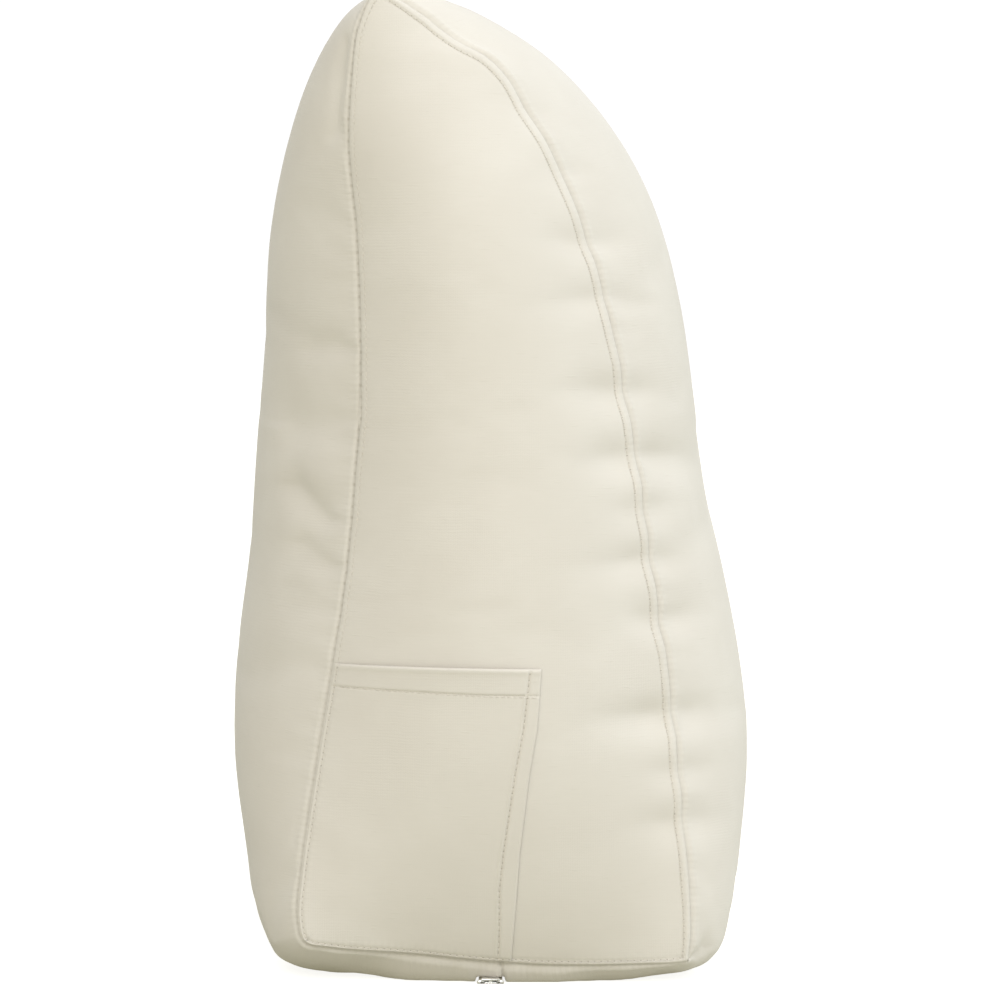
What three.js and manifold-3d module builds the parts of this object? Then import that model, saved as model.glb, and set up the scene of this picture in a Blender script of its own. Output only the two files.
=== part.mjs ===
// A wedge-shaped back cushion that stands on its base, in millimetres, +Z up.
// +X is the side that is leaned on, -X the upright back, and the pocket is on the end that faces -Y.
// The origin is under the middle of the whole cushion, at the surface that it stands on.
import * as THREE from "three";
import Module from "manifold-3d";
import { mergeVertices } from "three/addons/utils/BufferGeometryUtils.js";

const wasm = await Module();
wasm.setup();

// Driving dimensions of the filled body
const SEAM_TO_SEAM = 530; // between the two end seams, at the corners
const END_CROWN = 35; // how far each end panel stands out past its seam
const CROWN_RISE = 150; // height over which that crown comes up from the foot, and goes at the top
const CROWN_GROWTH = 0.14; // share that the long faces still gain between an end and the middle
const RIDGE_RISE = 3; // rise of the top between an end and the middle
const RIDGE_POWER = 4; // how closely that rise keeps to the top
const FACE_SWELL = 3; // how fast the long faces swell out from a seam
const SLACK_SPREAD = 2; // how fast the seams' draw-in fades along the cushion
const CROWN_POWER = 2.1; // 2 is a round crown across an end panel, more is a flatter one
const FULL_WIDTH = 160; // an end panel narrower than this has less crown
const NARROWING = 0.55; // how that crown falls with the panel's width
const SEAM_DITCH = 2.2; // depth of the groove along an end seam
const DITCH_REACH = 4; // distance from the seam at which that groove is gone
const LOW_DRAW_IN = 60; // height over which the draw-in of the bottom seam fades up the end panel
const FOLDS_AT_SEAM = 0.35; // share of a gather's depth that the seam itself takes part in
const FOLDS_FREE_AT = 8; // crown at which the end panel takes part in the rest of it

// The end seam and the full section, row by row from the back corner of the base, up the back,
// over the top and down the leaned-on side. drawIn is how far the seam is pulled in from the end,
// and reach how far from the seam the cloth needs to swell out to the full section.
const SECTION = [
  { seamX: -81, seamZ: 17.6, crownX: -86, crownZ: 0, drawIn: 1, reach: 42 },
  { seamX: -95.3, seamZ: 21, crownX: -111, crownZ: 6, drawIn: 0, reach: 60 },
  { seamX: -99, seamZ: 33, crownX: -123, crownZ: 27, drawIn: 0.5, reach: 80 },
  { seamX: -97.3, seamZ: 58, crownX: -130.5, crownZ: 60, drawIn: 2, reach: 105 },
  { seamX: -90.7, seamZ: 104, crownX: -138, crownZ: 108, drawIn: 5, reach: 130 },
  { seamX: -81.3, seamZ: 161.5, crownX: -136, crownZ: 165, drawIn: 7.5, reach: 150 },
  { seamX: -73.8, seamZ: 213, crownX: -130, crownZ: 214, drawIn: 9, reach: 155 },
  { seamX: -69, seamZ: 266, crownX: -126.5, crownZ: 266, drawIn: 9, reach: 155 },
  { seamX: -66.9, seamZ: 320, crownX: -122, crownZ: 320, drawIn: 8, reach: 150 },
  { seamX: -68.4, seamZ: 379, crownX: -118.8, crownZ: 381, drawIn: 6, reach: 135 },
  { seamX: -72.5, seamZ: 426, crownX: -107.5, crownZ: 431, drawIn: 3.5, reach: 105 },
  { seamX: -71.2, seamZ: 457, crownX: -92.5, crownZ: 467, drawIn: 2, reach: 75 },
  { seamX: -67.6, seamZ: 484, crownX: -73, crownZ: 493, drawIn: 0.5, reach: 45 },
  { seamX: -58, seamZ: 499, crownX: -49, crownZ: 503, drawIn: 0, reach: 40 },
  { seamX: -36.3, seamZ: 492.5, crownX: -20, crownZ: 498.5, drawIn: 0.5, reach: 55 },
  { seamX: -16.3, seamZ: 477.5, crownX: 9, crownZ: 485.5, drawIn: 2, reach: 85 },
  { seamX: 3.7, seamZ: 462.7, crownX: 35.5, crownZ: 468, drawIn: 3.5, reach: 110 },
  { seamX: 24.8, seamZ: 431.7, crownX: 65, crownZ: 436, drawIn: 5.5, reach: 130 },
  { seamX: 42.3, seamZ: 394.2, crownX: 86.5, crownZ: 398, drawIn: 7.5, reach: 140 },
  { seamX: 58, seamZ: 344, crownX: 101.5, crownZ: 345, drawIn: 9, reach: 140 },
  { seamX: 69.3, seamZ: 293, crownX: 108.5, crownZ: 294, drawIn: 9.5, reach: 130 },
  { seamX: 76.8, seamZ: 248.5, crownX: 113.5, crownZ: 248, drawIn: 9, reach: 125 },
  { seamX: 84, seamZ: 201, crownX: 124.5, crownZ: 201, drawIn: 8, reach: 130 },
  { seamX: 90.9, seamZ: 154, crownX: 133.5, crownZ: 154, drawIn: 6.5, reach: 130 },
  { seamX: 95, seamZ: 108, crownX: 137, crownZ: 108, drawIn: 4.5, reach: 120 },
  { seamX: 99.9, seamZ: 64, crownX: 132, crownZ: 62, drawIn: 2.5, reach: 95 },
  { seamX: 101.9, seamZ: 27, crownX: 124.5, crownZ: 23, drawIn: 0.5, reach: 70 },
  { seamX: 101, seamZ: 12.5, crownX: 111, crownZ: 3.5, drawIn: 0, reach: 40 },
  { seamX: 80, seamZ: 9.6, crownX: 86, crownZ: 0, drawIn: 1, reach: 26 },
  { seamX: 34, seamZ: 8.8, crownX: 36, crownZ: 0, drawIn: 1.5, reach: 12 },
  { seamX: 2, seamZ: 10.6, crownX: 2, crownZ: 0, drawIn: 1.5, reach: 12 },
  { seamX: -42, seamZ: 14.8, crownX: -44, crownZ: 0, drawIn: 1.5, reach: 20 },
];

// The rows at which the section turns from one panel into the next
const BACK_FOOT_ROW = 1;
const TOP_ROW = 13;
const FRONT_FOOT_ROW = 27;

// Gathers that cross the leaned-on seam: height, depth, half width, reach on the end and on the face
const FRONT_GATHERS = [
  { z: 412, depth: 1.6, half: 7, onEnd: 14, onFace: 16 },
  { z: 374, depth: 2.6, half: 8, onEnd: 26, onFace: 26 },
  { z: 351, depth: 2.4, half: 7, onEnd: 24, onFace: 28 },
  { z: 299, depth: 3.4, half: 9, onEnd: 32, onFace: 26 },
  { z: 270, depth: 4.2, half: 8, onEnd: 24, onFace: 55 },
  { z: 243, depth: 2.2, half: 7, onEnd: 26, onFace: 24 },
  { z: 219, depth: 2.6, half: 7, onEnd: 26, onFace: 22 },
  { z: 189, depth: 3.0, half: 8, onEnd: 30, onFace: 30 },
  { z: 142, depth: 3.6, half: 9, onEnd: 34, onFace: 28 },
  { z: 111, depth: 2.0, half: 6, onEnd: 20, onFace: 20 },
  { z: 86, depth: 2.4, half: 8, onEnd: 26, onFace: 20 },
];

// Dents in the back face: height, distance from the end seam, depth, half sizes, tilt in radians
const BACK_DENTS = [
  { z: 326, inward: 26, depth: 1.8, halfTall: 8, halfLong: 22, tilt: 0 },
  { z: 286, inward: 24, depth: 3.2, halfTall: 9, halfLong: 26, tilt: 0 },
  { z: 249, inward: 26, depth: 4.0, halfTall: 8, halfLong: 24, tilt: 0.55 },
  { z: 221, inward: 22, depth: 3.0, halfTall: 8, halfLong: 22, tilt: 0.45 },
  { z: 197, inward: 18, depth: 2.0, halfTall: 8, halfLong: 20, tilt: 0.35 },
];
const FAR_END_SHIFT = 12; // the folds at the far end lie this much lower

// Patch pocket on the end panel
const POCKET = {
  left: -80.5, // where the mouth meets the back seam
  right: 25.2,
  rightAtFoot: 10.1,
  mouth: 163,
  bow: 3.2, // how much higher the mouth is at its middle
  foot: 3.2, // distance of the sewn foot above the bottom seam
  side: 2.6, // distance of the sewn side from the back seam
  thick: 1.5,
  hem: 13,
  hemThick: 2.4,
  seat: 0.85, // clearance to the panel along the sewn edges
  gape: 2.6, // clearance added at the middle of the mouth
  columns: 14,
  rows: 11,
  normalStep: 2, // distance over which the panel's direction is taken
};

// Zip along the middle of the base, with its slider parked at the pocket end
const ZIP = {
  furrowHalf: 9.6,
  furrowTopHalf: 8.4,
  furrowBeyond: 1, // how far a furrow goes past what lies in it
  tapeHalf: 7.6,
  tapeLow: 3.1,
  tapeThick: 0.8,
  coilHalf: 2.6,
  coilThick: 1.4,
  coilNarrowing: 0.6, // share of its width that the coil still has at its lower side
  start: -250.5,
  end: 250,
  clear: 0.3,
};
const SLIDER = {
  frontHalf: 6.6,
  backHalf: 5,
  corner: 2.2,
  front: -264.5,
  back: -251,
  plate: 0.9,
  flange: 1.2,
  beyond: 1, // how far a cut goes past the slider's outline
  wedgeHalf: 1.5,
  wedgeSetBack: 0.6,
  wedgeLong: 4,
};

const SAMPLES_PER_ROW = 15; // of the seam, for looking up where it runs

// Points around the section for each step between two rows: most where the gathers are
const STEPS_AT_GATHERS = 5;
const STEPS_ELSEWHERE = 2;
const GATHERED_FROM_X = 50; // the gathers are where the seam is further out than this,
const GATHERED_FROM_Z = 50; // and higher than this
const FACE_RINGS = [4, 9, 16, 26, 40, 58, 82, 112, 148, 190, 228];
const END_INSETS = [4, 9]; // rings beside the seam on an end panel, by distance
const END_RINGS = [0.84, 0.68, 0.5, 0.32, 0.15]; // and further in, by share of the radius
const END_CENTRE = { x: 3, z: 212 };

const halfSeam = SEAM_TO_SEAM / 2;
const height = Math.max(...SECTION.map((row) => row.crownZ));

const closedCurve = (point) =>
  new THREE.CatmullRomCurve3(SECTION.map(point), true, "centripetal");
const seamCurve = closedCurve((r) => new THREE.Vector3(r.seamX, r.drawIn, r.seamZ));
const crownCurve = closedCurve((r) => new THREE.Vector3(r.crownX, 0, r.crownZ));

function reachAt(share) {
  const row = share * SECTION.length;
  const first = Math.floor(row) % SECTION.length;
  const next = (first + 1) % SECTION.length;
  return THREE.MathUtils.lerp(SECTION[first].reach, SECTION[next].reach, row - Math.floor(row));
}

// Stretches of the seam: its two sides by height, and its lower edge by x
function seamSpan(firstRow, lastRow) {
  const count = (lastRow - firstRow) * SAMPLES_PER_ROW;
  return Array.from({ length: count + 1 }, (_, i) =>
    seamCurve.getPoint(((firstRow + i / SAMPLES_PER_ROW) / SECTION.length) % 1),
  );
}
const backSide = seamSpan(BACK_FOOT_ROW, TOP_ROW);
const frontSide = seamSpan(TOP_ROW, FRONT_FOOT_ROW).reverse();
const baseSide = seamSpan(FRONT_FOOT_ROW, SECTION.length + BACK_FOOT_ROW).reverse();
const seamTop = SECTION[TOP_ROW].seamZ;

function lookUp(points, key, value, wanted) {
  if (value <= points[0][key]) return points[0][wanted];
  for (let i = 1; i < points.length; i += 1) {
    const a = points[i - 1];
    const b = points[i];
    if (value <= b[key]) {
      const share = (value - a[key]) / Math.max(b[key] - a[key], 1e-9);
      return a[wanted] + share * (b[wanted] - a[wanted]);
    }
  }
  return points[points.length - 1][wanted];
}

const rise = (distance, reach) => {
  const left = 1 - THREE.MathUtils.clamp(distance / reach, 0, 1);
  return 1 - left * left;
};
const bell = (distance, half) => Math.exp(-((distance / half) ** 2));

// How far the end panel stands out past the seam plane at (x, z)
function endCrown(x, z) {
  const back = lookUp(backSide, "z", z, "x");
  const front = lookUp(frontSide, "z", z, "x");
  const half = Math.max((front - back) / 2, 1);
  const across = THREE.MathUtils.clamp((x - (front + back) / 2) / half, -1, 1);
  const floor = lookUp(baseSide, "x", x, "z");
  const narrow = Math.min(1, (2 * half) / FULL_WIDTH) ** NARROWING;
  const tall = rise(z - floor, CROWN_RISE) * rise(seamTop - z, CROWN_RISE);
  return END_CROWN * narrow * tall * (1 - Math.abs(across) ** CROWN_POWER);
}

// Inward push of the gathers and dents: distance is along the cloth from the end seam
function gatherPush(z, distance, onEnd, shift) {
  return FRONT_GATHERS.reduce((sum, g) => {
    const reach = onEnd ? g.onEnd : g.onFace;
    return sum + g.depth * bell(z - g.z + shift, g.half) * bell(distance, reach);
  }, 0);
}
function dentPush(z, distance, shift) {
  return BACK_DENTS.reduce((sum, d) => {
    const up = z - d.z + shift;
    const along = distance - d.inward;
    const tall = up * Math.cos(d.tilt) + along * Math.sin(d.tilt);
    const long = along * Math.cos(d.tilt) - up * Math.sin(d.tilt);
    return sum + d.depth * bell(tall, d.halfTall) * bell(long, d.halfLong);
  }, 0);
}

// Outward direction of the section at a share of the way around
function outward(share) {
  const t = crownCurve.getTangent(share);
  return new THREE.Vector3(-t.z, 0, t.x).normalize();
}

// A point of the long faces: share around, distance from the nearer end seam, side -1 near, 1 far
function facePoint(share, distance, side) {
  const seam = seamCurve.getPoint(share);
  const crown = crownCurve.getPoint(share);
  const shift = side > 0 ? FAR_END_SHIFT : 0;
  const free = THREE.MathUtils.clamp(distance / reachAt(share), 0, 1);
  const swell = 1 - (1 - free) ** FACE_SWELL;
  const along = Math.sin(((Math.PI / 2) * distance) / halfSeam);
  const grown = 1 - CROWN_GROWTH * (1 - along);
  const x = seam.x + (crown.x - seam.x) * swell * grown;
  let z = seam.z + (crown.z - seam.z) * swell;
  z += RIDGE_RISE * (z / height) ** RIDGE_POWER * along;
  const y = side * (halfSeam - seam.y * (1 - along) ** SLACK_SPREAD - distance);
  const out = outward(share);
  const facing = Math.max(0, out.x) * gatherPush(z, distance, false, shift);
  const behind = Math.max(0, -out.x) * dentPush(z, distance, shift);
  const ditch = Math.SQRT1_2 * SEAM_DITCH * Math.max(0, 1 - distance / DITCH_REACH);
  const point = new THREE.Vector3(x, y, z).addScaledVector(out, -(facing + behind + ditch));
  point.y -= side * ditch;
  point.z = Math.max(point.z, 0);
  return point;
}

// How far an end panel is pulled in at (x, z), from what its seam is pulled in beside it
function drawInAt(x, z) {
  const back = lookUp(backSide, "z", z, "x");
  const front = lookUp(frontSide, "z", z, "x");
  const across = THREE.MathUtils.clamp((2 * x - front - back) / Math.max(front - back, 2), -1, 1);
  const beside = lookUp(across < 0 ? backSide : frontSide, "z", z, "y") * across ** 2;
  const above = (z - lookUp(baseSide, "x", x, "z")) / LOW_DRAW_IN;
  const low = 1 - THREE.MathUtils.clamp(above, 0, 1);
  return beside + (lookUp(baseSide, "x", x, "y") - beside) * low ** 2;
}

// The point of an end panel at (x, z)
function endSurface(x, z, side) {
  const front = lookUp(frontSide, "z", z, "x");
  const crown = endCrown(x, z);
  const push = gatherPush(z, front - x, true, side > 0 ? FAR_END_SHIFT : 0);
  const taking = Math.min(1, FOLDS_AT_SEAM + ((1 - FOLDS_AT_SEAM) * crown) / FOLDS_FREE_AT);
  return new THREE.Vector3(x, side * (halfSeam - drawInAt(x, z) + crown - push * taking), z);
}

// A point of an end panel: share around and share of the radius
function endPoint(share, radius, side) {
  const seam = seamCurve.getPoint(share);
  const x = END_CENTRE.x + (seam.x - END_CENTRE.x) * radius;
  const z = END_CENTRE.z + (seam.z - END_CENTRE.z) * radius;
  return endSurface(x, z, side);
}

const shares = SECTION.flatMap((row, i) => {
  const next = SECTION[(i + 1) % SECTION.length];
  const ahead = row.seamX > 0 && next.seamX > GATHERED_FROM_X;
  const gathered = ahead && row.seamZ > GATHERED_FROM_Z;
  const steps = gathered ? STEPS_AT_GATHERS : STEPS_ELSEWHERE;
  return Array.from({ length: steps }, (_, k) => (i + k / steps) / SECTION.length);
});
const seamRadius = (share) => {
  const seam = seamCurve.getPoint(share);
  return Math.hypot(seam.x - END_CENTRE.x, seam.z - END_CENTRE.z);
};

function endRings(side) {
  const inner = [...END_RINGS].reverse().map((r) => shares.map((s) => endPoint(s, r, side)));
  const outer = [...END_INSETS]
    .reverse()
    .map((inset) => shares.map((s) => endPoint(s, 1 - inset / seamRadius(s), side)));
  return [...inner, ...outer];
}
const faceRing = (distance, side) => shares.map((s) => facePoint(s, distance, side));

// Joins rings of equal length into one closed skin with a point at each end
function closedSkin(rings, firstCentre, lastCentre) {
  const count = rings[0].length;
  const points = [firstCentre, ...rings.flat(), lastCentre];
  const index = [];
  const last = points.length - 1;
  for (let i = 0; i < count; i += 1) {
    const j = (i + 1) % count;
    index.push(0, 1 + j, 1 + i);
    index.push(last, last - count + i, last - count + j);
    for (let k = 0; k + 1 < rings.length; k += 1) {
      const a = 1 + k * count;
      const b = a + count;
      index.push(a + i, b + j, b + i, a + i, a + j, b + j);
    }
  }
  const geometry = new THREE.BufferGeometry().setFromPoints(points);
  geometry.setIndex(index);
  return geometry;
}

function toSolid(geometry) {
  const bare = geometry.clone();
  bare.deleteAttribute("normal");
  bare.deleteAttribute("uv");
  const merged = mergeVertices(bare, 1e-4);
  return new wasm.Manifold(
    new wasm.Mesh({
      numProp: 3,
      vertProperties: Float32Array.from(merged.attributes.position.array),
      triVerts: Uint32Array.from(merged.index.array),
    }),
  );
}
function toGeometry(solid) {
  const mesh = solid.getMesh();
  const geometry = new THREE.BufferGeometry();
  geometry.setAttribute("position", new THREE.BufferAttribute(mesh.vertProperties, 3));
  geometry.setIndex(new THREE.BufferAttribute(mesh.triVerts, 1));
  return geometry;
}

// A prism whose section is drawn in x and z, running along +Y from y0 to y1
function prism(corners, y0, y1) {
  const shape = new THREE.Shape(corners.map(([x, z]) => new THREE.Vector2(x, z)));
  const geometry = new THREE.ExtrudeGeometry(shape, { depth: y1 - y0, bevelEnabled: false });
  geometry.rotateX(Math.PI / 2);
  geometry.translate(0, y1, 0);
  return geometry;
}

function cushionGeometry() {
  const rings = [
    ...endRings(-1),
    faceRing(0, -1),
    ...FACE_RINGS.map((d) => faceRing(d, -1)),
    faceRing(halfSeam, -1),
    ...[...FACE_RINGS].reverse().map((d) => faceRing(d, 1)),
    faceRing(0, 1),
    ...endRings(1).reverse(),
  ];
  const centre = (side) => endSurface(END_CENTRE.x, END_CENTRE.z, side);
  const body = toSolid(closedSkin(rings, centre(-1), centre(1)));
  return toGeometry(body.subtract(toSolid(zipFurrow())).subtract(toSolid(sliderFurrow())));
}

// The two furrows in the base: one for the tape, and a higher one at the slider
const chainRoof = ZIP.tapeLow + ZIP.tapeThick + ZIP.clear;
const furrowFront = -halfSeam - END_CROWN;
const sliderRoof = chainRoof + SLIDER.plate + ZIP.clear;
const furrow = (roof, y0, y1) =>
  prism(
    [
      [-ZIP.furrowHalf, -ZIP.furrowBeyond],
      [ZIP.furrowHalf, -ZIP.furrowBeyond],
      [ZIP.furrowTopHalf, roof],
      [-ZIP.furrowTopHalf, roof],
    ],
    y0,
    y1,
  );
const zipFurrow = () => furrow(chainRoof, furrowFront, ZIP.end + ZIP.furrowBeyond);
const sliderFurrow = () => furrow(sliderRoof, furrowFront, SLIDER.back + ZIP.furrowBeyond);

// The pocket's cloth as a grid of columns across and rows up, thickened outward
function pocketGeometry() {
  const { foot, side, mouth, bow, left, right, rightAtFoot, hem, columns, rows } = POCKET;
  const step = POCKET.normalStep;
  const cornerTop = SECTION[BACK_FOOT_ROW].seamZ + side + foot;
  const place = (u, v) => {
    const zTop = mouth + bow * Math.sin(Math.PI * u);
    const zFoot = lookUp(baseSide, "x", left + u * (right - left), "z") + foot;
    const z = zFoot + v * (zTop - zFoot);
    const xLeft = lookUp(backSide, "z", Math.max(z, cornerTop), "x") + side;
    const xRight = rightAtFoot + v * (right - rightAtFoot);
    return { x: xLeft + u * (xRight - xLeft), z, hemmed: zTop - z < hem };
  };
  const surface = (x, z) => endSurface(x, z, -1);
  const normal = (x, z) => {
    const dx = surface(x + step, z).sub(surface(x - step, z));
    const dz = surface(x, z + step).sub(surface(x, z - step));
    return dx.cross(dz).normalize();
  };
  const layer = (layerShare) => {
    const points = [];
    for (let r = 0; r <= rows; r += 1) {
      for (let c = 0; c <= columns; c += 1) {
        const u = c / columns;
        const v = r / rows;
        const { x, z, hemmed } = place(u, v);
        const lift = POCKET.seat + POCKET.gape * Math.sin(Math.PI * u) * v ** 2;
        const thick = hemmed ? POCKET.hemThick : POCKET.thick;
        points.push(surface(x, z).addScaledVector(normal(x, z), lift + layerShare * thick));
      }
    }
    return points;
  };
  const inner = layer(0);
  const outer = layer(1);
  const wide = columns + 1;
  const at = (c, r) => r * wide + c;
  const index = [];
  const quad = (a, b, c, d) => index.push(a, b, c, a, c, d);
  const shift = inner.length;
  for (let r = 0; r < rows; r += 1) {
    for (let c = 0; c < columns; c += 1) {
      quad(shift + at(c, r), shift + at(c + 1, r), shift + at(c + 1, r + 1), shift + at(c, r + 1));
      quad(at(c, r), at(c, r + 1), at(c + 1, r + 1), at(c + 1, r));
    }
  }
  for (let c = 0; c < columns; c += 1) {
    quad(at(c, 0), at(c + 1, 0), shift + at(c + 1, 0), shift + at(c, 0));
    quad(at(c + 1, rows), at(c, rows), shift + at(c, rows), shift + at(c + 1, rows));
  }
  for (let r = 0; r < rows; r += 1) {
    quad(at(0, r + 1), at(0, r), shift + at(0, r), shift + at(0, r + 1));
    quad(at(columns, r), at(columns, r + 1), shift + at(columns, r + 1), shift + at(columns, r));
  }
  const geometry = new THREE.BufferGeometry().setFromPoints([...inner, ...outer]);
  geometry.setIndex(index);
  return geometry;
}

// Tape with the closed coil under its middle
function zipChainGeometry() {
  const { tapeHalf, tapeLow, tapeThick, coilHalf, coilThick, start, end } = ZIP;
  const coilLowHalf = coilHalf * ZIP.coilNarrowing;
  const corners = [
    [-tapeHalf, tapeLow],
    [-coilHalf, tapeLow],
    [-coilLowHalf, tapeLow - coilThick],
    [coilLowHalf, tapeLow - coilThick],
    [coilHalf, tapeLow],
    [tapeHalf, tapeLow],
    [tapeHalf, tapeLow + tapeThick],
    [-tapeHalf, tapeLow + tapeThick],
  ];
  return prism(corners, start, end);
}

// An upright slab with the slider's outline seen from above, wide in front and narrow behind
function sliderPlate(z0, z1) {
  const { frontHalf, backHalf, corner, front, back } = SLIDER;
  const shape = new THREE.Shape();
  shape.moveTo(-backHalf, back);
  shape.lineTo(-frontHalf, front + corner);
  shape.quadraticCurveTo(-frontHalf, front, -frontHalf + corner, front);
  shape.lineTo(frontHalf - corner, front);
  shape.quadraticCurveTo(frontHalf, front, frontHalf, front + corner);
  shape.lineTo(backHalf, back);
  shape.closePath();
  const settings = { depth: z1 - z0, bevelEnabled: false, curveSegments: 5 };
  return toSolid(new THREE.ExtrudeGeometry(shape, settings).translate(0, 0, z0));
}

// The slider: two plates over and under the chain, side flanges, and the wedge that parts the coils
function zipSliderGeometry() {
  const { frontHalf, backHalf, front, back, plate, flange, beyond } = SLIDER;
  const { wedgeHalf, wedgeSetBack, wedgeLong } = SLIDER;
  const { tapeLow, tapeThick, coilThick, clear } = ZIP;
  const lowTop = tapeLow - coilThick - clear;
  const highLow = tapeLow + tapeThick + clear;
  const body = sliderPlate(lowTop - plate, highLow + plate);
  const slot = prism(
    [
      [-frontHalf - beyond, tapeLow - clear],
      [frontHalf + beyond, tapeLow - clear],
      [frontHalf + beyond, highLow],
      [-frontHalf - beyond, highLow],
    ],
    front - beyond,
    back + beyond,
  );
  const inner = backHalf - flange;
  const channel = prism(
    [
      [-inner, lowTop],
      [inner, lowTop],
      [inner, highLow],
      [-inner, highLow],
    ],
    front - beyond,
    back + beyond,
  );
  const wedge = prism(
    [
      [-wedgeHalf, lowTop - plate / 2],
      [wedgeHalf, lowTop - plate / 2],
      [wedgeHalf, highLow + plate / 2],
      [-wedgeHalf, highLow + plate / 2],
    ],
    front + wedgeSetBack,
    front + wedgeLong,
  );
  return toGeometry(body.subtract(toSolid(slot)).subtract(toSolid(channel)).add(toSolid(wedge)));
}

const cloth = new THREE.MeshStandardMaterial({ color: 0xe2dccb, roughness: 0.92, metalness: 0 });
const tape = new THREE.MeshStandardMaterial({ color: 0xd6cfbb, roughness: 0.85, metalness: 0 });
const metal = new THREE.MeshStandardMaterial({ color: 0xb9b6ad, roughness: 0.3, metalness: 1 });

function named(name, geometry, material) {
  geometry.computeVertexNormals();
  const mesh = new THREE.Mesh(geometry, material);
  mesh.name = name;
  return mesh;
}

const cushion = new THREE.Group();
cushion.add(named("cushion", cushionGeometry(), cloth));
cushion.add(named("side_pocket", pocketGeometry(), cloth));
cushion.add(named("zip_chain", zipChainGeometry(), tape));
cushion.add(named("zip_slider", zipSliderGeometry(), metal));

// The origin goes under the middle of the box around the whole cushion
const box = new THREE.Box3().setFromObject(cushion);
cushion.position.set(-(box.min.x + box.max.x) / 2, -(box.min.y + box.max.y) / 2, -box.min.z);

export default cushion;
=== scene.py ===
import math
from collections import namedtuple

import bpy
import numpy as np
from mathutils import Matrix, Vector
from mathutils.bvhtree import BVHTree


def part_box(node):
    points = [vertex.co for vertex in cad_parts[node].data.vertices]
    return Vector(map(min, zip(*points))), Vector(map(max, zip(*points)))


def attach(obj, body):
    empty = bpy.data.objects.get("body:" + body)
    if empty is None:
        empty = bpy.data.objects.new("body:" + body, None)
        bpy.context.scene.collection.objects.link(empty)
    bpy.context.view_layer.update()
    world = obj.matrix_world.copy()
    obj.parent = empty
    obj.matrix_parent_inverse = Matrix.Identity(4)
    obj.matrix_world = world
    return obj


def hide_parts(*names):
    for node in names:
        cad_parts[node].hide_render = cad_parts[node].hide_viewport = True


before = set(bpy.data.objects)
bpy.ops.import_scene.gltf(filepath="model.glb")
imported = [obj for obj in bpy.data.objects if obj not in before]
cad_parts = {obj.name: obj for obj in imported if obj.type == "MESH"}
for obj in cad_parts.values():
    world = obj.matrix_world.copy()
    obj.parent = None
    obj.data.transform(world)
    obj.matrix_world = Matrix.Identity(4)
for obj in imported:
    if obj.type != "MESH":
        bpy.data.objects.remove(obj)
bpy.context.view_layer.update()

MM = 0.001

# The filled body
SEAM_TO_SEAM = 530.0
HALF_SEAM = SEAM_TO_SEAM / 2
END_CROWN = 35.0
CROWN_RISE = 150.0
CROWN_GROWTH = 0.14
RIDGE_RISE = 3.0
CROWN_POWER = 2.1
FULL_WIDTH = 160.0
NARROWING = 0.55
LOW_DRAW_IN = 60.0
FACE_SWELL = 3.0
BASE_SWELL = 1.6  # the base panel turns under more evenly
BASE_EDGE = 14.0
FAR_END_SHIFT = 12.0  # the folds at the far end lie this much lower

# The end seam and the full section, row by row from the back corner of the base, up the back, over
# the top and down the leaned-on side. draw_in is how far the seam is pulled in from the end, and
# reach how far from the seam the cloth needs to swell out to the full section.
Row = namedtuple("Row", "seam_x seam_z crown_x crown_z draw_in reach")
SECTION = [
    Row(-81, 17.6, -86, 0, 1, 49),
    Row(-95.3, 21, -111, 6, 0, 60),
    Row(-99, 33, -123, 27, 0.5, 80),
    Row(-97.3, 58, -130.5, 60, 2, 105),
    Row(-90.7, 104, -138, 108, 5, 130),
    Row(-81.3, 161.5, -136, 165, 7.5, 150),
    Row(-73.8, 213, -130, 214, 9, 155),
    Row(-69, 266, -126.5, 266, 9, 155),
    Row(-66.9, 320, -122, 320, 8, 150),
    Row(-68.4, 379, -118.8, 381, 6, 135),
    Row(-72.5, 426, -107.5, 431, 3.5, 105),
    Row(-71.2, 457, -92.5, 467, 2, 75),
    Row(-67.6, 484, -73, 493, 0.5, 45),
    Row(-57.5, 502.5, -48, 505, 0, 40),
    Row(-36.3, 492.5, -20, 498.5, 0.5, 55),
    Row(-16.3, 477.5, 9, 485.5, 2, 85),
    Row(3.7, 462.7, 35.5, 468, 3.5, 110),
    Row(24.8, 431.7, 65, 436, 5.5, 130),
    Row(42.3, 394.2, 86.5, 398, 7.5, 140),
    Row(58, 344, 101.5, 345, 9, 140),
    Row(69.3, 293, 108.5, 294, 9.5, 130),
    Row(76.8, 248.5, 113.5, 248, 9, 125),
    Row(84, 201, 124.5, 201, 8, 130),
    Row(90.9, 154, 133.5, 154, 6.5, 130),
    Row(95, 108, 137, 108, 4.5, 120),
    Row(99.9, 64, 132, 62, 2.5, 95),
    Row(101.9, 27, 124.5, 23, 0.5, 70),
    Row(101.5, 17, 119, 11.5, 0.2, 50),
    Row(100.7, 11.4, 110.5, 3.8, 0, 38),
    Row(93, 9.9, 99.5, 0.9, 0.4, 31),
    Row(80, 9.4, 86, 0, 1, 26),
    Row(34, 8.8, 36, 0, 1.5, 9),
    Row(2, 10.6, 2, 0, 1.5, 9),
    Row(-42, 14.8, -44, 0, 1.5, 17),
]
BACK_FOOT_ROW = 1
BACK_TOP_ROW = 12
TOP_ROW = 13
FRONT_TOP_ROW = 14
FRONT_FOOT_ROW = 28

BACK, FRONT = -1, 1

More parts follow.
